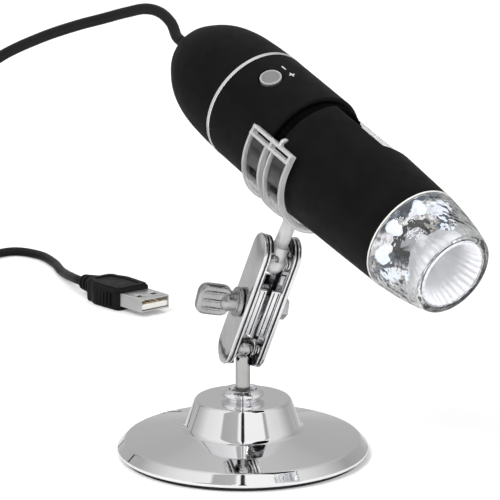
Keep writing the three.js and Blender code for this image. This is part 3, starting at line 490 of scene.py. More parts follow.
def glowFinish(name, color, strength):
    # A lit lamp: clear epoxy with light from inside, a little uneven in its tint.
    material = newMaterial(name, color, 0.1, Emission_Strength=strength)
    cloud = noise(material, 1500, 2)
    varyColor(material, cloud, color, np.minimum(1, 1.5 * np.array(color)))
    varyColor(material, cloud, (0.75, 0.85, 1), 1, (0, 1), "Emission Color")


def addStripes(material, sizes):
    # Painted glow, for the lamps' light in the guide's ribs: the cosine of count turns of the surface's own
    # U, taken to low to high, times a fade that is whole at near from the middle of its V and gone at far.
    tree = material.node_tree
    count, low, high, middle, near, far = pick(sizes, "count low high middle near far")
    spot = position(tree, "UV")
    wave = compute(tree, "COSINE", compute(tree, "MULTIPLY", spot["X"], 2 * np.pi * count))
    away = compute(tree, "ABSOLUTE", compute(tree, "SUBTRACT", spot["Y"], middle))
    parts = mapRange(tree, wave, (-1, 1), (low, high)), mapRange(tree, away, (far, near))
    feed(material, "Emission Strength", compute(tree, "MULTIPLY", *parts))


def makeBoardFinish(sizes):
    # White resist, copper and dark parts as stops of one noise, with a painted glow in the same colours that
    # stands for light reaching it through the clear nose.
    material = plasticFinish("white board", (0.3, 0.31, 0.33), (0.5, 0.51, 0.52), 0.3, 0.15, 900, 4e-5)
    ramp = varyColor(material, noise(material, 190, 3, 0.55), sizes["dark"], sizes["white"], sizes["between"])
    for at, color in sizes["stops"]:
        ramp.color_ramp.elements.new(at).color = rgba(color)
    material.node_tree.nodes["Principled BSDF"].inputs["Emission Strength"].default_value = sizes["glow"]
    feed(material, "Emission Color", ramp.outputs["Color"])


# glow is the strength of the board's painted glow.
boardSizes = {
    "dark": (0.012, 0.02, 0.035), "white": 0.95, "between": (0.42, 0.6), "glow": 0.45,
    "stops": ((0.47, (0.1, 0.13, 0.17)), (0.51, (0.42, 0.37, 0.29)), (0.55, (0.6, 0.66))),
}
stripeSizes = {"count": 30, "low": 0.04, "high": 0.34, "middle": 0.53, "near": 0.1, "far": 0.24}

# Colour, darker colour, roughness and its spread; where cast, the bump's height and scale; metallic if not 1.
metals = {
    "base chrome": ((0.92, 0.93), (0.9, 0.91), 0.03, 0.03),
    "rod steel": ((0.5, 0.5, 0.49), (0.42, 0.41), 0.14, 0.08),
    "satin ball": (0.8, 0.7, 0.34, 0.1, 0, 0, 0.35),
    "screw steel": (0.2, 0.1, 0.3, 0.1),
    "cast chrome": ((0.86, 0.87), (0.72, 0.73), 0.07, 0.07, 6e-5, 420),
    # Painted shade: the next finish is near black, for the pieces in the clamp's grooves.
    "shade chrome": ((0.07, 0.072), (0.04, 0.042), 0.2, 0.1),
    "cast wing": (0.5, 0.36, 0.2, 0.12, 8e-5, 700),
    "plain steel": ((0.6, 0.61), (0.5, 0.51), 0.25, 0.12),
    "silver trim": (0.95, (0.9, 0.91), 0.3, 0.1),
    "plug plating": ((0.97, 0.965), (0.93, 0.925), 0.3, 0.05),
    "gold contact": ((0.92, 0.66, 0.28), (0.8, 0.55, 0.2), 0.18, 0.1),
}

# Colour, paler colour, roughness and its spread, the grain's scale and depth, and shine if not 0.5.
plastics = {
    "cast weight": (0.1, (0.16, 0.155, 0.15), 0.6, 0.2, 900, 1e-4),
    "foot rubber": (0.012, 0.02, 0.75, 0.15, 2500, 8e-5),
    "soft black": ((0.003, 0.0032), (0.0046, 0.0048), 0.5, 0.08, 5200, 2e-5, 0.09),
    "wheel rubber": (0.001, 0.002, 0.7, 0.1, 3000, 3e-5, 0.04),
    "grey button": ((0.165, 0.168), (0.2, 0.203), 0.4, 0.1, 4200, 2e-5),
    "pale rim": ((0.34, 0.345), (0.4, 0.405), 0.35, 0.1, 4200, 2e-5),
    "dark moulding": ((0.02, 0.021), 0.03, 0.5, 0.12, 2600, 3e-5),
    "printed board": ((0.015, 0.11, 0.045), (0.02, 0.15, 0.06), 0.35, 0.15, 1500, 3e-5),
    "cord jacket": (0.005, 0.008, 0.36, 0.1, 1800, 4e-5, 0.22),
    "plug moulding": (0.005, 0.008, 0.46, 0.12, 3600, 4e-5, 0.16),
    "white moulding": ((0.82, 0.8, 0.76), (0.88, 0.87, 0.84), 0.4, 0.1, 2000, 2e-5),
    "printed marks": (0.62, 0.7, 0.5, 0.1, 3000, 1e-5),
}

for name, values in metals.items():
    metalFinish(name, *values)
for name, values in plastics.items():
    plasticFinish(name, *values)
clearFinish("clear clip", (0.97, 0.975, 0.97), 0.02, 0.03, 5e-5)
# The thick clip's faint emission is a painted glow that brightens its thick clear parts.
clearFinish("thick clip", (0.95, 0.955, 0.95), 0.06, 0.08, 8e-5, 0.72, Emission_Strength=0.03)
clearFinish("clear nose", (0.985, 0.99, 0.99), 0.01, 0.02, 0.0016)
# The frosted guide's striped emission is a painted glow.
addStripes(clearFinish("frosted guide", (0.97, 0.97, 0.985), 0.3, 0.1, 4e-5, 0.6,
                       Emission_Color=rgba((0.93, 0.94, 1))), stripeSizes)
coated = newMaterial("coated glass", (0.7, 0.69, 0.78), 0.1, IOR=1.6, Transmission_Weight=0.25,
                     Coat_Weight=0.6)
varyRoughness(coated, noise(coated, 400, 2), 0.08, 0.14)
varyColor(coated, noise(coated, 200, 2), (0.62, 0.6, 0.72), (0.74, 0.8))
makeBoardFinish(boardSizes)
glowFinish("lit lamp", (0.5, 0.54, 0.6), 0.6)
print("finishes made")


# Camera, at the photograph's angle

cameraSizes = {"sensor": 36, "lens": 180, "pitch": 13.2, "place": (0.002, -0.6722, 0.21625), "farEnd": 20}
camera = addObject("camera", bpy.data.cameras.new("camera"))
camera.data.sensor_width = cameraSizes["sensor"]
camera.data.lens = cameraSizes["lens"]
camera.data.clip_end = cameraSizes["farEnd"]
camera.location = cameraSizes["place"]
camera.rotation_euler = (np.radians(90 - cameraSizes["pitch"]), 0, 0)
bpy.context.scene.camera = camera


# Cord

cordSizes = {
    "radius": 1.6, "length": 1.4989, "coilCentre": (-133, 76), "coilMiddle": 18.5, "turns": 4.5, "pitch": 3.7,
    "layer": 3.7, "low": 2.5, "dip": 0.9, "glandTip": -37, "neckEnd": (-28.904, 0, 4), "step": 1.2,
    "sides": 18, "perTurn": 48, "tucked": 0.3, "straight": 3.5,
}


def coilPath(sizes):
    # centre + r (cos a, sin a): r falls by a pitch a turn, dips in a half turn one layer down, and grows.
    turns, pitch, middle, low, layer = pick(sizes, "turns pitch coilMiddle low layer")
    outer, inner = middle + turns * pitch / 2, middle - turns * pitch / 2
    whole = 2 * turns + 0.5
    turn = np.linspace(0, whole, int(whole * sizes["perTurn"]) + 1)
    past = turn - turns
    half = np.clip(past, 0, 0.5)
    dipped = inner - sizes["dip"] * np.sin(2 * np.pi * half)
    grown = np.where(past < 0.5, dipped, inner + pitch * (past - 0.5))
    radius = np.where(past <= 0, outer - pitch * turn, grown)
    circle = circlePoints(radius, -np.pi / 2 - 2 * np.pi * turn) + sizes["coilCentre"]
    return np.c_[circle, low + layer * (1 - 2 * half)]


def layCord(sizes):
    # A curve through points on its way from the gland to the coil, the coil, and the same on to the neck.
    glandEnd, glandAway = carried((0, 0, sizes["glandTip"]), scopePlace), -scopePlace[0][:, 2]
    neckEnd, neckAway = carried(sizes["neckEnd"], plugPlace), -plugPlace[0][:, 0]
    tucked, straight, step = pick(sizes, "tucked straight step")
    coil = coilPath(sizes)
    leadPoints = [
        glandEnd + glandAway * tucked, glandEnd + glandAway * straight,
        (-20.6, 40.2, 116), (-24.1, 44.2, 118.6), (-28.2, 46.6, 119.2), (-33.4, 48.5, 118),
        (-41, 50, 115.8), (-48.4, 50.4, 113.8), (-58.5, 50.5, 110.4), (-70.9, 50.5, 104.6),
        (-81, 50.3, 96.5), (-88.6, 50, 85), (-94, 49.6, 71), (-98, 49.3, 56),
        (-102, 49.2, 41), (-107, 49.2, 27), (-113.5, 49.2, 14.5), (-119.5, 49.2, 8.6),
        coil[0] + (6.7, 0, 0), coil[0] + (3.5, 0, 0), coil[0],
    ]
    tailPoints = [
        coil[-1], coil[-1] + (3.5, 0, 0), coil[-1] + (6.7, 0, 0),
        (-119.5, 103, 1.9), (-111, 105.4, 1.65), (-104, 111, 1.65), (-98.5, 120, 1.65), (-96, 132, 1.65),
        (-95.8, 147, 1.65), (-96.8, 162, 1.65), (-98.4, 177, 1.65), (-99.8, 192, 1.65), (-100.4, 207, 1.65),
        (-99.6, 221, 1.65), (-95.4, 233, 1.65), (-86.4, 240.6, 1.65), (-76.8, 235, 1.65),
        (-70.2, 222.5, 1.65), (-66, 207.5, 1.9), neckEnd + neckAway * straight, neckEnd + neckAway * tucked,
    ]
    lead, tail = smoothThrough(leadPoints, step)[:-1], smoothThrough(tailPoints, step)[1:]
    return np.vstack([lead, evenly(coil, step), tail]) * mm


route = layCord(cordSizes)
cord = addPiece("cord", [tubeAlong(route, cordSizes["radius"] * mm, cordSizes["sides"])], "cord jacket",
                "stand", "cord_black", "cord_lead", "cord_coil", "cord_tail")
print("cord laid,", round(np.linalg.norm(np.diff(route, axis=0), axis=1).sum(), 4), "m")


# Base

baseSizes = {"pad": 33.8, "padHeight": 1, "lift": 0.02, "rim": 35.3, "plate": 33.05, "plateTop": 4.65,
             "rise": 3, "foot": 16.4, "footTop": 8.4, "top": 13.6}


def makeBase(sizes):
    # One turned line: bevelled rim, rising plate, rounded cone and collar, and the hollow below.
    pad = rounded(box(0, sizes["pad"], sizes["lift"], sizes["padHeight"]), (0, 0.2, 0.2, 0))
    addPiece("foot_rubber", [revolved(pad, table, 160)], "foot rubber", "stand", "pad", "foot_pad")
    rim, flat, top, foot, cone = pick(sizes, "rim plate plateTop foot top")
    outline = [
        (33.2, 1.3), (rim - 0.1, 1.3), (rim, 1.7), (rim, 2.2), (flat, top),
        (foot + 0.75, top + sizes["rise"]), (foot, sizes["footTop"]), (cone, 15.6), (13.1, 16.15),
        (4.6, 16.1), (5.2, 16.55), (6.15, 17.2), (6.15, 18.2), (4.9, 18.95), (3.9, 18.95),
        (3.6, 16.7), (2.4, 16.6), (2.4, 14.3), (11.9, 14.3), (14, 6.4), (14, 2.8), (31.7, 2.8), (33.2, 2.4),
        (33.2, 1.3),
    ]
    radii = [0, 0.15, 0.3, 0.5, 0.45, 0.4, 0.45, 0.5, 0.6, 0.2, 0.25, 0.5, 0.6, 0.5, 0.3, 0.2, 0.1] + [0] * 7
    line = rounded(outline, radii, 6)
    addPiece("base_cover", [revolved(line, table, 256)], "base chrome", "stand", "base_chrome", "base_shell")


makeBase(baseSizes)


# Rod with its ball

rodSizes = {"radius": 2.05, "thread": 1.45, "shoulder": 2.9, "ball": 3.2, "low": 11.2}


def makeRod(sizes):
    # A thread, a shoulder that sits on the base's collar, and the rod up to its ball.
    r, s, thread, radius, low = pick(sizes, "radius shoulder thread ball low")
    start = np.degrees(np.arcsin(r / radius))
    corners = [(0, low), (thread, low), (thread, 14.15), (r, 14.15), (r, 16.95), (s, 16.95), (s, 17.5),
               (r, 18.05), (r, 27.9)]
    line = rounded(corners, (0, 0.2, 0, 0, 0.1, 0.2, 0.25, 0.2, 0))
    line = np.vstack([line, sphereLine(radius, clampSizes["ballHeight"], start, 180)])
    addPiece("rod_and_ball", [revolved(line, table, 64)], "rod steel", "rod", "base_chrome", "ball_rod")


makeRod(rodSizes)
print("stand made")


# Clamp

clampShell = {
    "outer": 5.4, "plate": 1.0, "halfWidth": 5.45, "groove": 5.0, "wall": 4.5, "hollow": 3.7, "inner": 0.7,
    "ribLow": 3.1, "ribHigh": 3.9, "ribHalf": 5.3, "window": 6.8, "boss": 2.4, "edge": 0.38, "hole": 1.8,
    "lines": ((1.25, 1.6), (2.55, 2.95)), "lineTop": 4.56, "hood": 2.7, "cupGap": 0.3, "balls": (3.2, 3.3),
}
wingSizes = {"flange": 4.2, "low": 5.7, "high": 6.9, "hub": 2.9, "blade": (8.35, 18.0), "span": 8.8,
             "thickness": 3.0, "corner": 3.0, "edge": 0.9, "ridge": 0.5, "ridges": 3, "turn": 104,
             "shank": 1.5, "shankEnd": -8.3, "ridgeGap": 1.1, "ridgeFall": 0.18, "ridgeSunk": 0.1}


def clampHalf(place, sizes):
    # A holed plate on a shallow hollow ring, ribbed walls between the balls and a cupped boss at each ball.
    # The dark strips, bars and hoods in its grooves are painted shade, given back apart.
    outer, wall, hollow, ribLow, ribHigh, ribHalf = pick(sizes, "outer wall hollow ribLow ribHigh ribHalf")
    spacing = clampSizes["spacing"]
    reach, under = spacing + clampSizes["crown"], outer - sizes["plate"]
    whole, inside = stadium(sizes["halfWidth"], reach), stadium(hollow, reach)
    angle = np.arctan2(whole[:, 1] - spacing / 2, whole[:, 0])
    hole = circlePoints(sizes["hole"], angle) + (0, spacing / 2)
    shell = [holedPlate(whole, hole, under, outer, sizes["edge"], place, "yzx"),
             holedPlate(stadium(ribHalf, reach), inside, ribHigh - 0.5, ribHigh, 0.2, place, "yzx")]
    # Painted shade: the strip, the bars and the hoods are dark chrome that stands for the shade in the
    # grooves.
    strip = stadium(sizes["groove"], reach)
    groove = [holedPlate(strip, inside, ribHigh - 0.1, under + 0.02, 0.06, place, "yzx")]
    low, high, ribTop = sizes["window"], spacing - sizes["window"], ribHigh - 0.05
    for side in (-1, 1):
        section = [(sizes["inner"], hollow), (sizes["inner"], wall), (ribLow, wall), (ribLow, ribHalf),
                   (ribTop, ribHalf), (ribTop, hollow)]
        section = roundedLoop(np.array(section) * (1, side), (0.25, 0.3, 0.15, 0.25, 0.2, 0.2), 3)
        shell.append(plate(section, low, high, 0.25, place, steps=3))
        for near, far in sizes["lines"]:
            bar = roundedLoop(np.array(box(near, far, wall - 0.2, sizes["lineTop"])) * (1, side), 0.08, 3)
            groove.append(plate(bar, low + 0.5, high - 0.5, 0.02, place, steps=2))
    for centre, start, end in ((0, 215, 325), (reach, 35, 145)):
        hood = arcSector(hollow, sizes["groove"] + 0.12, start, end, 0.2) + (0, centre)
        groove.append(plate(hood, sizes["hood"], ribHigh - 0.52, 0.1, place, "yzx", 2))
    for level, ball in zip((0, spacing), sizes["balls"]):
        cup = sphereLine(ball + sizes["cupGap"], 0, 150, 180, 8)[::-1]
        rim = [(1.9, 3.1), (sizes["boss"], 3.1), (sizes["boss"], 4.5), (0, 4.5)]
        line = np.vstack([cup[:-1], rounded(rim, (0.1, 0.2, 0, 0), 3)])
        shell.append(revolved(line, placeAlong(place, (0, 0, level)), 48))
    return shell, groove


turnedRound = (clampPlace[0] @ turnAbout("z", 180), clampPlace[1])
for half, place, body in (("outer_clamp", clampPlace, "outer_jaw"), ("inner_clamp", turnedRound, "clamp")):
    shell, groove = clampHalf(place, clampShell)
    addPiece(half, shell, "cast chrome", body, "clamp_chrome", half + "_shell")
    # The grooves' dark chrome is painted shade.
    addPiece(half + "_shade", groove, "shade chrome", body, "clamp_chrome")


def makeWingScrew(sizes):
    # A turned shank, flange and hub, a rounded blade across them, and a capsule for each ridge on its faces.
    rotation = clampPlace[0] @ turnAbout("y", 90) @ turnAbout("z", sizes["turn"])
    place = (rotation, carried((0, 0, clampSizes["spacing"] / 2), clampPlace))
    low, high, flange, hub, shank, end = pick(sizes, "low high flange hub shank shankEnd")
    near, far = sizes["blade"]
    line = [(0, end), (shank, end), (shank, low), (flange, low), (flange, high), (hub, high),
            (hub, near + 1.5), (2.0, near + 3.0), (0, near + 3.0)]
    turned = revolved(rounded(line, (0, 0.2, 0.05, 0.35, 0.4, 0.3, 0.4, 0.3, 0)), place, 64)
    outline = roundRectangle(sizes["span"], far - near, sizes["corner"], 7) + (0, (near + far) / 2)
    half = sizes["thickness"] / 2
    surfaces = [turned, plate(outline, -half, half, sizes["edge"], place, "yzx", 6)]
    share = np.linspace(0, 1, 25)
    width = sizes["ridge"] * mm * np.sqrt(np.sin(np.pi * share) ** 0.6 + 1e-6)
    for face in (-1, 1):
        for i in range(sizes["ridges"]):
            across = (i - (sizes["ridges"] - 1) / 2) * sizes["span"] / (sizes["ridges"] + 0.8)
            reach = (far - near) / 2 - sizes["ridgeGap"] - sizes["ridgeFall"] * abs(across)
            along = (near + far) / 2 - reach * np.cos(np.pi * share)
            path = np.c_[np.full(25, face * (half - sizes["ridgeSunk"])), np.full(25, across), along]
            surfaces.append(tubeAlong(toRow(path, place), width, 12))
    addPiece("wing_screw_metal", surfaces, "cast wing", "thumb_screw", "clamp_chrome", "wing_screw")


makeWingScrew(wingSizes)
bevelledCopy("clamp_nut", 0.2 * mm, "plain steel", "clamp")
print("clamp made")


# Ball under the clip, with the cross screw that holds the stem

holderSizes = {"ball": 3.3, "collar": 2.7, "collarEnd": -5.2, "bore": 2.3, "boreEnd": -3, "neck": -1.9}
crossSizes = {"turn": 139, "offset": 1.7, "head": 1.4, "low": 2.3, "high": 3.05, "slot": 0.2, "reach": 0.85,
              "depth": 0.4, "dome": 0.25, "soft": 0.035}


def makeHolderBall(sizes):
    # A bored collar that the stem stands in, and the ball below it.
    collar, end, bore, boreEnd = pick(sizes, "collar collarEnd bore boreEnd")
    start = np.degrees(np.arcsin(collar / sizes["ball"]))
    corners = [(0, boreEnd), (bore, boreEnd), (bore, end), (collar, end), (collar, sizes["neck"])]
    line = np.vstack([rounded(corners, (0, 0.1, 0.1, 0.2, 0)), sphereLine(sizes["ball"], 0, start, 180)])
    surface = revolved(line, placeAlong(scopePlace, holderPoint), 72)
    addPiece("ball_and_collar", [surface], "satin ball", "holder", "clamp_chrome", "holder_ball")


def makeCrossScrew(sizes):
    # Height h(x, y) = high - dome - depth * cross on a disc, where the cross is the larger of two soft bars.
    turn = np.radians(sizes["turn"])
    origin = np.array(holderPoint) - (sizes["offset"], 0, 0)
    place = placeAlong(scopePlace, origin, (0, np.cos(turn), np.sin(turn)), (1, 0.4, 0))
    head, high, low, soft = pick(sizes, "head high low soft")
    radius = np.r_[np.linspace(0, head - 0.15, 26), head - 0.1, head - 0.04, head, head, 0][:, None]
    angle = np.linspace(0, 2 * np.pi, 120, endpoint=False)[None]
    x, y = radius * np.cos(angle), radius * np.sin(angle)

    def fade(value, edge):
        return 1 + np.exp((abs(value) - sizes[edge]) / soft)

    def bar(a, b):
        return 1 / fade(a, "slot") / fade(b, "reach")

    height = high - sizes["dome"] * (radius / head) ** 2 - sizes["depth"] * np.maximum(bar(x, y), bar(y, x))
    height[-5:] = np.array([high - 0.27, high - 0.3, high - 0.38, low, low])[:, None]
    surface = gridSurface(roundAxis(radius, angle, height, place))
    addPiece("cross_screw", [surface], "screw steel", "holder", "steel", "ball_screw")


makeHolderBall(holderSizes)
makeCrossScrew(crossSizes)


# Clear clip

clipSizes = {
    "inner": 16.85, "web": 1.0, "rail": 1.8, "railWidth": 0.85, "halfWidth": 8.8, "slot": 1.8,
    "halfAngle": 97.5, "farMore": 11, "bead": 2.2, "ridge": 2.7, "bar": 1, "beadEnds": (96.0, 105.0),
    "beadHalf": 8.7, "edge": 0.3, "slotStart": 28, "stem": 2.0, "stemEnd": 29.5, "flare": 3.4,
}
hookSizes = {"angle": -107.5, "away": 17.9, "outer": 1.55, "inner": 1.05, "low": 30.8, "high": 31.6,
             "half": 105}


def makeBands(sizes):
    # Two bands, each a web between two rails, and a bridge between them at the stem. It gives the rails back.
    inner, halfSlot, width, start = sizes["inner"], sizes["slot"] / 2, sizes["railWidth"], sizes["slotStart"]
    web, rail, station = inner + sizes["web"], inner + sizes["rail"], scopeSizes["station"]
    reach = np.radians(np.linspace(-sizes["halfAngle"], sizes["halfAngle"] + sizes["farMore"], 103))
    webs, rails = [], []
    for low, high in ((-sizes["halfWidth"], -halfSlot), (halfSlot, sizes["halfWidth"])):
        low, high = low + station, high + station
        for made, top, near, far in ((webs, web, low + width - 0.1, high - width + 0.1),
                                     (rails, rail, low, low + width), (rails, rail, high - width, high)):
            section = roundedLoop(box(inner, top, near, far), (0.2, 0.3, 0.3, 0.2))
            made.append(swept(section, reach, scopePlace))
    bridge = arcSector(inner + 0.05, web - 0.05, -start, start, 0.3)
    ends = station - halfSlot - 0.3, station + halfSlot + 0.3
    webs.append(plate(bridge, *ends, 0.05, scopePlace, steps=2))
    addPiece("clear_clip", webs, "clear clip", "clip_holder", "clip_clear", "clip")
    return rails


def makeBeads(sizes):
    # On each tip two ridges along the barrel, joined by three bars.
    inner, top, half, bar = sizes["inner"], sizes["inner"] + sizes["bead"], sizes["beadHalf"], sizes["bar"]
    station = scopeSizes["station"]
    surfaces = []
    for side, more in ((-1, 0), (1, sizes["farMore"])):
        start, end = (side * (angle + more) for angle in sizes["beadEnds"])
        ridge = side * sizes["ridge"]
        for a, b in ((start, start + ridge), (end - ridge, end)):
            line = arcSector(inner, top, a, b, 0.35)
            surfaces.append(plate(line, station - half, station + half, sizes["edge"], scopePlace))
        line = arcSector(inner, top - 0.15, start + ridge * 0.6, end - ridge * 0.6, 0.1)
        for low in (-half + 0.05, -bar / 2, half - bar - 0.05):
            surfaces.append(plate(line, station + low, station + low + bar, 0.2, scopePlace, steps=2))
    return surfaces


def makeStem(sizes):
    # A turned stem that flares where it meets the band: stem + stem (1 - t)^2.2.
    stem, tip, root = sizes["stem"], sizes["stemEnd"], sizes["inner"] + 0.6
    t = np.linspace(0, 1, 14)
    flare = np.c_[stem + stem * (1 - t) ** 2.2, root + sizes["flare"] * t]
    line = np.vstack([[(0, root)], flare, rounded([(stem, 21.5), (stem, tip), (0, tip)], (0, 0.4, 0))])
    return revolved(line, placeAlong(scopePlace, (0, 0, scopeSizes["station"])), 48)


def makeHook(sizes):
    # A small curl beside the clip, open towards the barrel.
    angle, half = sizes["angle"], sizes["half"]
    curl = arcSector(sizes["inner"], sizes["outer"], angle - half, angle + half, 0.2, 10)
    curl = curl + circlePoints(sizes["away"], np.radians([angle]))
    return plate(curl, sizes["low"], sizes["high"], 0.2, scopePlace, steps=3)


surfaces = makeBands(clipSizes) + makeBeads(clipSizes) + [makeHook(hookSizes), makeStem(clipSizes)]
addPiece("clip_beads_and_stem", surfaces, "thick clip", "clip_holder", "clip_clear")
print("clip made")


# Microscope casing, along its own Z from the cap to the nose

sleeveSizes = {"radius": 16.5, "wall": 1.6, "low": 0.78, "high": 24.95, "fine": 5, "edge": 0.3, "sunk": 0.25}
housingSizes = {
    "low": 28.55, "high": 70.2, "front": 14.7, "back": 16.3, "bore": 12.3, "deep": 49, "rim": 1.4,
    "soft": 0.22,
    "shares": ((0, 0.0), (0.02, 0.05), (0.13, 0.18), (0.34, 0.33), (0.63, 0.62), (1, 0.955)),
}
capSizes = {
    "low": -0.78, "tip": -33, "hole": 3.2, "radius": 16.5,
    "shares": ((1, 0), (0.996, 0.06), (0.985, 0.2), (0.95, 0.41), (0.88, 0.58), (0.79, 0.7), (0.68, 0.8),
               (0.56, 0.89), (0.42, 0.955), (0.27, 0.99), (0.2, 1)),
}
ringSizes = {"inner": 15.1, "radius": 16.62, "half": 0.55, "corner": 0.14}
wheelSizes = {"low": 25.2, "high": 28.3, "radius": 15.3, "bore": 12.3, "teeth": 60, "tooth": 0.38,
              "corner": 0.3}
buttonSizes = {"station": 9.6, "angle": -146.5, "radius": 3.0, "well": 3.35, "top": 16.75, "rim": 0.5,
               "flange": 3.9}
markSizes = {"aside": -5.6, "apart": 1.9, "length": 1.9, "width": 0.36, "corner": 0.12, "sunk": 0.08,
             "height": 0.11}
thumbSizes = {"angle": 150, "depth": 13.2, "end": 48.3, "rampEnd": 52.6, "rampTop": 17.3, "last": 60}


def makeCap(sizes):
    # A smooth dome through the shares of the cap's radius and length, its wall inside, and the cord's sleeve.
    low, tip, hole, radius = pick(sizes, "low tip hole radius")
    dome = smoothThrough(np.array(sizes["shares"]) * (radius, tip - low) + (0, low), 0.35)
    inside = np.array([(hole, -31.4), (7.5, -29.6), (11.4, -24), (14, -15), (14.9, -4), (14.9, low)])
    lip = rounded([dome[1], (radius, low), inside[-1]], (0, 0.25, 0))[1:-1]
    line = np.vstack([[(hole, tip)], dome[::-1][:-2], lip, inside[::-1], [(hole, tip)]])
    addPiece("rear_dome", [revolved(line, scopePlace)], "soft black", "microscope", "soft_black", "rear_cap")
    gland = [(0, -37), (1.95, -37), (2.25, -36.8), (2.55, -35), (2.85, -33.2), (2.85, -31.2), (0, -31.2)]
    line = rounded(gland, (0, 0.15, 0.2, 0.3, 0.3, 0.1, 0))
    addPiece("cord_sleeve", [revolved(line, scopePlace, 48)], "cord jacket", "microscope", "soft_black",
             "cord_gland")


def makeRing(sizes):
    # A band a little wider than the casing, with its two outer corners rounded.
    inner, outer, half, corner = pick(sizes, "inner radius half corner")
    line = bandLine(inner, outer, -half, half, corner, 5)
    addPiece("trim_ring", [revolved(line, scopePlace, 160)], "silver trim", "microscope", "silver_plastic",
             "silver_ring")


def makeSleeve(sizes, button):
    # The same angles and stations on both walls; in the well both reach the inner radius, and their faces go.
    outer, low, high, half, edge, sunk = pick(sizes, "radius low high fine edge sunk")
    station, well = pick(button, "station well")
    wall, centre = outer - sizes["wall"], np.radians(button["angle"])
    fine = np.linspace(-half, half, 81)
    near = fine / outer + centre
    angles = np.r_[near, np.linspace(near[-1], near[0] + 2 * np.pi, 120)[1:-1]]
    stations = np.r_[np.linspace(low + 0.4, station - half, 8)[:-1], fine + station,
                     np.linspace(station + half, high - 0.7, 16)[1:]]
    wide, narrow = (np.c_[np.full(len(stations), radius), stations] for radius in (outer, wall))
    rear = [(wall, low), (outer - 0.25, low), (outer - 0.07, low + 0.07), (outer, low + 0.25)]
    front = [(outer, high - 0.6), (outer - 0.1, high - 0.35), (outer - 0.35, high - 0.1), (outer - 0.6, high),
             (wall, high)]
    line = np.vstack([rear, wide, front, narrow[::-1], rear[:1]])

    def distance(angle, height):
        return np.hypot(outer * ((angle - centre + np.pi) % (2 * np.pi) - np.pi), height - station) - well

    def sink(radius, angle, height):
        away = distance(angle, height)
        share = np.clip(1 - away / edge, 0, 1)
        return np.where(away < 0, wall, radius - sunk * share ** 2 * (radius > outer - 0.01))

    def inWell(angle, height):
        return distance(angle, height) < 0

    surface = revolved(line, scopePlace, angles, sink, inWell)
    addPiece("body_sleeve", [surface], "soft black", "microscope", "soft_black", "main_sleeve")


def makeButton(sizes):
    # A flanged cap and a thin paler ring round its top.
    station, r, top, rim, flange = pick(sizes, "station radius top rim flange")
    centre = np.radians(sizes["angle"])
    place = placeAlong(scopePlace, (0, 0, station), (np.cos(centre), np.sin(centre), 0), (0, 0, 1))
    line = [(0, top), (1.2, top - 0.02), (r - 0.4, top - 0.06), (r - 0.1, top - 0.2), (r - 0.03, top - 0.5),
            (r - 0.03, 14.5), (flange, 14.5), (flange, 13.6), (0, 13.6)]
    line = rounded(line, (0, 0.3, 0.15, 0.15, 0.15, 0.1, 0.2, 0.2, 0), 4)
    addPiece("button_cap", [revolved(line, place, 72)], "grey button", "button", "grey_plastic",
             "zoom_button")
    edge = [(r - rim, top - 0.3), (r, top - 0.3), (r, top - 0.1), (r - 0.15, top + 0.06),
            (r - rim + 0.1, top + 0.06), (r - rim, top - 0.02)]
    line = rounded(edge, (0, 0, 0.08, 0.12, 0.1, 0.05), 4, closed=True)
    addPiece("button_rim", [revolved(line, place, 72)], "pale rim", "button", "grey_plastic")


def makeMarks(sizes, button):
    # A minus and a plus beside the button, as thin bars on the sleeve: (R cos a, R sin a, s) over each bar.
    aside, apart, length, width, corner = pick(sizes, "aside apart length width corner")
    outer = sleeveSizes["radius"]
    middle = np.radians(button["angle"]) + aside / outer
    surfaces = []
    for along, across, upright in ((-apart, width, length), (apart, width, length), (apart, length, width)):
        outline = roundRectangle(across, upright, corner) + (0, along + button["station"])
        points, faces, uvs = plate(outline, 0, sizes["height"], 0.02, table, steps=2)
        turned, station, lift = (points / mm).T
        bent = np.c_[circlePoints(outer - sizes["sunk"] + lift, middle + turned / outer), station]
        surfaces.append(outward((toRow(bent, scopePlace), faces, uvs)))
    addPiece("button_marks", surfaces, "printed marks", "microscope", "silver_plastic")


def makeWheel(sizes):
    # Radius less tooth (1 - cos(teeth a)) / 2 on the rim alone.
    low, high, outer, bore, teeth, tooth = pick(sizes, "low high radius bore teeth tooth")

    def knurl(radius, angle, height):
        return radius - np.clip(radius - outer + 1, 0, 1) * tooth * (0.5 - 0.5 * np.cos(teeth * angle))

    surface = revolved(bandLine(bore, outer, low, high, sizes["corner"]), scopePlace, 480, knurl)
    addPiece("knurled_wheel", [surface], "wheel rubber", "wheel", "wheel_black", "focus_wheel")


def makeHousing(sizes, thumb):
    # r(a, s) is the softer minimum of the taper r(s) and of the thumb flat's d(s) / cos(a - middle).
    low, high, front, back, bore, deep = pick(sizes, "low high front back bore deep")
    depth, end, rampEnd, rampTop, last = pick(thumb, "depth end rampEnd rampTop last")
    taper = np.array(sizes["shares"]) * (front - back, high - low - 0.9) + (back, low + 0.45)
    rear = [(bore, low), (back - 0.5, low), (back - 0.2, low + 0.08), (back - 0.04, low + 0.25)]
    rim = front - sizes["rim"]
    tip = [(front, high - 0.45), (front - 0.05, high - 0.2), (front - 0.25, high), (rim, high), (rim, deep),
           (bore, deep), (bore, low)]
    line = np.vstack([rear, smoothThrough(taper, 0.33), tip])
    middle, soft = np.radians(thumb["angle"]), sizes["soft"]

    def flatten(radius, angle, height):
        t = np.clip((height - end) / (rampEnd - end), 0, 1)
        sunk = depth + (rampTop - depth) * t + 40 * (height > rampEnd)
        limit = sunk / np.maximum(np.cos(angle - middle), 0.05)
        blend = np.minimum(radius, limit) - 0.6 * soft * np.exp(-abs(radius - limit) / soft)
        return np.where((radius > rim + 0.1) & (height < last), blend, radius)

    surface = revolved(line, scopePlace, 288, flatten)
    addPiece("front_shell", [surface], "soft black", "microscope", "soft_black", "front_housing")


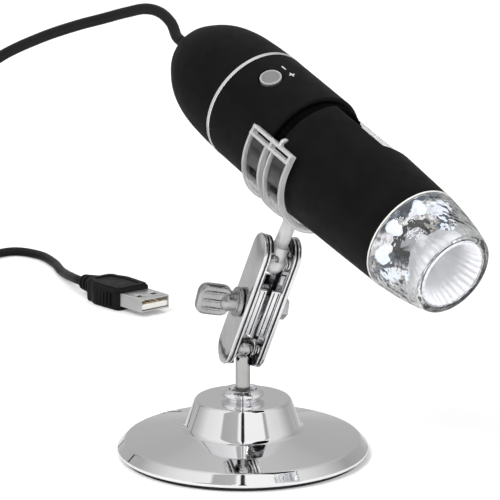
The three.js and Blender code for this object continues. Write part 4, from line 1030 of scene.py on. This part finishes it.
makeCap(capSizes)
makeRing(ringSizes)
makeSleeve(sleeveSizes, buttonSizes)
makeButton(buttonSizes)
makeMarks(markSizes, buttonSizes)
makeWheel(wheelSizes)
makeHousing(housingSizes, thumbSizes)
print("casing made")


# Clear nose, with the frosted guide and the lamps in it

noseSizes = {
    "rear": 70.5, "length": 16.6, "rearRadius": 14.5, "frontRadius": 11.6, "wall": 1.1, "mouth": 9.9,
    "lip": 1.1, "shares": ((0, 0), (0.03, 0.1), (0.14, 0.28), (0.42, 0.58), (0.68, 0.79), (0.9, 0.94)),
    "flange": (14.1, 14.72, 70.22, 70.62), "flangeCorner": 0.12,
}
guideSizes = {"rear": 75.5, "front": 86.8, "rearRadius": 5.8, "frontRadius": 9.6, "wall": 0.9, "ribs": 36,
              "rib": 0.22}
lampSizes = {"count": 8, "circle": 10.7, "low": 70.2, "flange": 1.8, "step": 0.7, "radius": 1.5, "dome": 72.7}
lensSizes = {"radius": 4.1, "crown": 70.4, "drop": 0.9, "edge": 69.3, "rear": 67.8}


def makeNose(sizes):
    # A bowl through shares of its drop in radius and of its length, with a thick rolled rim round the mouth.
    rear, length, back, tip, mouth = pick(sizes, "rear length rearRadius frontRadius mouth")
    outer = np.array(sizes["shares"]) * (tip - back, length) + (back, rear)
    inner = (outer - (sizes["wall"], 0))[::-1]
    inner[0] += (-0.25, -1.0)
    front = rear + length
    rim = [outer[-1], (tip - 0.05, front), (mouth, front), (mouth, front - sizes["lip"]), inner[0]]
    rim = rounded(rim, (0, 0.45, 0.35, 0.35, 0), 6)
    line = np.vstack([smoothThrough(outer, 0.4)[:-1], rim, smoothThrough(inner, 0.4)[1:], outer[:1]])
    addPiece("clear_bowl", [revolved(line, scopePlace, 160)], "clear nose", "microscope", "clear_plastic",
             "nose_shell")
    flange = revolved(bandLine(*sizes["flange"], sizes["flangeCorner"]), scopePlace, 160)
    addPiece("bowl_flange", [flange], "white moulding", "microscope", "clear_plastic")


def makeGuide(sizes):
    # A cone whose outside has a rib every 360 / ribs degrees: radius + rib (0.5 + 0.5 cos(ribs a))^3.
    low, high, rear, front, wall, count, rib = pick(sizes, "rear front rearRadius frontRadius wall ribs rib")
    share = np.linspace(0.03, 0.97, 14)[:, None]
    cone = share * (front - rear, high - low)
    start = [(rear - wall, low)]
    line = np.vstack([start, [(rear - 0.15, low)], (rear, low) + cone,
                      [(front - 0.15, high), (front - wall, high)], (rear - wall, low) + cone[::-1], start])

    def ribs(radius, angle, height):
        outside = radius > rear - 0.1 + (front - rear) * (height - low) / (high - low)
        return radius + outside * rib * (0.5 + 0.5 * np.cos(count * angle)) ** 3

    surface = revolved(line, scopePlace, 360, ribs)
    addPiece("ribbed_guide", [surface], "frosted guide", "microscope", "clear_plastic", "light_guide")


def makeLamps(sizes):
    # Each lamp is a flanged cylinder with a round top, at the middle of its share of the circle.
    low, flange, step, r, dome = pick(sizes, "low flange step radius dome")
    corners = [(0, low), (flange, low), (flange, low + step), (r, low + step), (r, dome)]
    line = np.vstack([rounded(corners, (0, 0.1, 0.15, 0.05, 0)), sphereLine(r, dome, 90, 180, 10)[1:]])
    for i in range(sizes["count"]):
        angle = 2 * np.pi * (i + 0.5) / sizes["count"]
        centre = (sizes["circle"] * np.cos(angle), sizes["circle"] * np.sin(angle), 0)
        surface = revolved(line, placeAlong(scopePlace, centre, (0, 0, 1), (1, 0, 0)), 32)
        number = str(i + 1)
        addPiece("lamp_" + number, [surface], "lit lamp", "microscope", "led_white", "led_" + number)


def makeLens(sizes):
    # The barrel's tube, and in it a lens with a crown that falls by drop t^2 to its edge.
    tube = [(4.4, 45), (10.7, 45), (10.7, 54), (5.6, 54.6), (5.6, 71.6), (4.9, 71.6), (4.4, 70.9), (4.4, 45)]
    line = rounded(tube, (0, 0.3, 0.3, 0.3, 0.2, 0.15, 0.15, 0))
    addPiece("barrel", [revolved(line, scopePlace, 96)], "dark moulding", "lens", "dark_plastic",
             "lens_barrel")
    radius, crown, drop, edge, rear = pick(sizes, "radius crown drop edge rear")
    t = np.linspace(0, 1, 14)
    line = np.vstack([np.c_[radius * t, crown - drop * t ** 2],
                      rounded([(radius, edge), (radius, rear), (0, rear)], (0, 0.1, 0))])
    addPiece("front_lens", [revolved(line, scopePlace, 72)], "coated glass", "lens", "lens_glass",
             "objective_lens")


makeNose(noseSizes)
makeGuide(guideSizes)
makeLamps(lampSizes)
makeLens(lensSizes)
print("nose made")


# Plug

gripSizes = {"length": 21, "front": 7.7, "rear": 6.2, "height": 8, "low": 0.02, "edge": 0.9, "panel": 0.45,
             "frame": (0.75, 2.6), "frameEdge": 0.22, "bars": 5, "bar": (0.9, 4.6), "barRise": 0.4,
             "barStart": (-4.2, 3.6), "barStep": 1.9, "barSunk": 0.25, "barTaper": 0.04}
neckSizes = {"start": (-21.3, 0, 4), "front": 3.7, "rear": 2.6, "rings": 4, "length": 8.4, "groove": 0.7,
             "full": 0.62}


def makeGrip(sizes):
    # The moulded handle, and on it a frame round a sunk panel and short upright bars on both sides.
    length, front, rear, top, panel, rise = pick(sizes, "length front rear height panel barRise")
    half = [(0, front - 1.6), (-1.6, front - 0.5), (-13.4, front), (-16.8, rear), (1.8 - length, rear),
            (-length, rear - 1.8)]
    mirrored = [(x, -y) for x, y in half[::-1]]
    outline = roundedLoop([mirrored[-1]] + half + mirrored[:-1],
                          (1.4, 1.4, 1, 3, 3, 1.4, 1.4, 1.4, 1.4, 3, 3, 1), 6)
    outline = anticlockwise(outline)
    frameLines = (insetBy(outline, inset) for inset in sizes["frame"])
    surfaces = [plate(outline, sizes["low"], top - panel, sizes["edge"], plugPlace, steps=6),
                holedPlate(*frameLines, top - panel - 0.3, top, sizes["frameEdge"], plugPlace)]
    for side in (-1, 1):
        for i in range(sizes["bars"]):
            bar = roundRectangle(*sizes["bar"], 0.3) + sizes["barStart"] - (sizes["barStep"] * i, 0)
            y = side * (front - sizes["barSunk"] - sizes["barTaper"] * i)
            low, high = min(y, y + side * rise), max(y, y + side * rise)
            surfaces.append(plate(bar, low, high, 0.15, plugPlace, "xzy", 2))
    addPiece("plug_handle", surfaces, "plug moulding", "stand", "plug_black", "plug_grip")


def makeNeck(sizes):
    # Rings of falling radius with grooves between them, about the plug's length.
    front, rear, rings, length, groove, full = pick(sizes, "front rear rings length groove full")
    shares = ((0, 0), (full, 0), (full, groove), (1, groove))
    steps = [(i + share, sunk) for i in range(rings) for share, sunk in shares]
    corners = [(front + (rear - front) * at / rings - sunk, length * at / rings) for at, sunk in steps[:-2]]
    line = rounded([(0, 0)] + corners + [(0, corners[-1][1])], 0.3, 4)
    surface = revolved(line, placeAlong(plugPlace, sizes["start"], (-1, 0, 0)), 64)
    addPiece("ribbed_neck", [surface], "plug moulding", "stand", "plug_black", "plug_neck")


makeGrip(gripSizes)
makeNeck(neckSizes)
contacts = ["plug_contact_" + str(i + 1) for i in range(4)]
bevelledCopy("plug_shell", 0.14 * mm, "plug plating", "stand")
bevelledCopy("plug_tongue", 0.2 * mm, "white moulding", "stand")
for node in contacts:
    bevelledCopy(node, 0.08 * mm, "gold contact", "stand", 2)
print("plug made")


# Solids whose own shape is kept, with the finish of each

bevelledCopy("coil_tie", 0.1 * mm, "foot rubber", "stand", 2)
keptSolids = {
    "base_weight": "cast weight", "rod_nut": "plain steel", "clamp_spacer": "plain steel",
    "inner_tube": "dark moulding", "sensor_board": "printed board", "image_sensor": "dark moulding",
    "main_board": "printed board", "zoom_switch": "dark moulding", "led_board": "white board",
}
for node, finish in keptSolids.items():
    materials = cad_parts[node].data.materials
    materials.clear()
    materials.append(finishes[finish])
plugPieces = ["plug_handle", "ribbed_neck"]
plugPieces += [node + "_finished" for node in ["plug_shell", "plug_tongue", "coil_tie"] + contacts]


# Floor, backdrop and light

floorSizes = {"half": 2.5, "height": -3e-5, "lift": 0.2, "shade": 0.8, "near": -0.03, "far": 0.12,
              "farDrop": 0.42}
lightSizes = {
    "key": {"place": (-0.5, -0.55, 0.95), "aim": (0, 0, 0.05), "size": 0.55, "power": 9},
    "fill": {"place": (0.9, -0.5, 0.6), "aim": (0, 0, 0.05), "size": 0.5, "power": 3},
    "rim": {"place": (-0.2, 0.9, 0.8), "aim": (0, 0, 0.08), "size": 0.6, "power": 4},
}
skySizes = {
    "near": ((-90, 0.72), (-12, 0.8), (0, 0.9), (45, 0.97), (90, 0.97)),
    "far": ((-90, 0.72), (0, 0.62), (8, 0.52), (30, 0.5), (60, 0.85), (90, 0.97)),
    "front": ((-180, 0.9), (-100, 0.8), (-47, 0.95), (-44, 0.45), (-12, 0.5), (-9, 1), (-4.2, 1),
              (-3.2, 0.02), (3.2, 0.02), (4.2, 1), (46, 1), (48, 0.4), (53, 0.45), (56, 0.85), (110, 0.7),
              (180, 0.9)),
    "turn": (-0.1, 0.45),
}


def makeFloor(sizes):
    # Pale for the camera and for diffuse light; mirrors see its far half as shade less farDrop, by its own Y.
    h, z, lift, near, far, drop = pick(sizes, "half height lift near far farDrop")
    mesh = bpy.data.meshes.new("floor")
    mesh.from_pydata([(x, y, z) for x, y in box(-h, h, -h, h)], [], [(0, 1, 2, 3)])
    material = bpy.data.materials.new("pale floor")
    material.use_nodes = True
    tree = material.node_tree
    tree.nodes.clear()
    rays = addNode(tree, "LightPath").outputs
    mirrored = mapRange(tree, position(tree, "Object")["Y"], (near, far), (0, drop))
    mirrored = compute(tree, "MULTIPLY", rays["Is Glossy Ray"], mirrored)
    left = compute(tree, "SUBTRACT", sizes["shade"], mirrored)
    shade = addNode(tree, "BsdfDiffuse", {"Color": left}).outputs[0]
    strength = compute(tree, "MULTIPLY", rays["Is Camera Ray"], lift)
    glow = addNode(tree, "Emission", {"Strength": strength}).outputs[0]
    both = addNode(tree, "AddShader", {0: shade, 1: glow}).outputs[0]
    addNode(tree, "OutputMaterial", {"Surface": both})
    mesh.materials.append(material)
    addObject("floor", mesh)


def makeLight(name, sizes):
    # A square lamp whose back points away from its aim. Mirrors don't show it.
    light = bpy.data.lights.new(name, "AREA")
    light.shape = "SQUARE"
    light.size = sizes["size"]
    light.energy = sizes["power"]
    lamp = addObject(name, light)
    away = np.array(sizes["place"]) - sizes["aim"]
    away /= np.linalg.norm(away)
    lamp.location = sizes["place"]
    lamp.rotation_euler = (np.arccos(away[2]), 0, np.arctan2(away[1], away[0]) + np.pi / 2)
    lamp.visible_glossy = False


def greyRamp(tree, amount, stops, half):
    # A ramp whose stops are given in degrees, from -half to half.
    ramp = addNode(tree, "ValToRGB", {"Fac": amount})
    spots = ramp.color_ramp.elements
    places = [(at + half) / (2 * half) for at, _ in stops]
    for at in places[1:-1]:
        spots.new(at)
    for spot, at, (_, grey) in zip(spots, places, stops):
        spot.position, spot.color = at, rgba(grey)
    return ramp.outputs["Color"]


def makeSky(sizes):
    # Camera rays see white. Others see a grey by height, one for each half, times one by direction.
    world = bpy.data.worlds.new("studio")
    bpy.context.scene.world = world
    world.use_nodes = True
    tree = world.node_tree
    tree.nodes.clear()

    def mix(kind, factor, first, second):
        colors = {"Factor": factor, 6: first, 7: second}
        return addNode(tree, "Mix", colors, data_type="RGBA", blend_type=kind).outputs[2]

    def share(angle, whole):
        return compute(tree, "ADD", compute(tree, "DIVIDE", angle, whole), 0.5)

    way = position(tree, "Generated")
    height = share(compute(tree, "ARCSINE", way["Z"]), np.pi)
    angle = share(compute(tree, "ARCTAN2", way["X"], compute(tree, "MULTIPLY", way["Y"], -1)), 2 * np.pi)
    near, far = (greyRamp(tree, height, sizes[half], 90) for half in ("near", "far"))
    both = mix("MIX", mapRange(tree, way["Y"], sizes["turn"]), near, far)
    both = mix("MULTIPLY", 1, both, greyRamp(tree, angle, sizes["front"], 180))
    seen = mix("MIX", addNode(tree, "LightPath").outputs["Is Camera Ray"], both, (1, 1, 1, 1))
    background = addNode(tree, "Background", {"Color": seen}).outputs[0]
    addNode(tree, "OutputWorld", {"Surface": background})


makeFloor(floorSizes)
for name, sizes in lightSizes.items():
    makeLight(name + "Light", sizes)
makeSky(skySizes)
bpy.context.scene.view_settings.view_transform = "Standard"
print("stage lit")
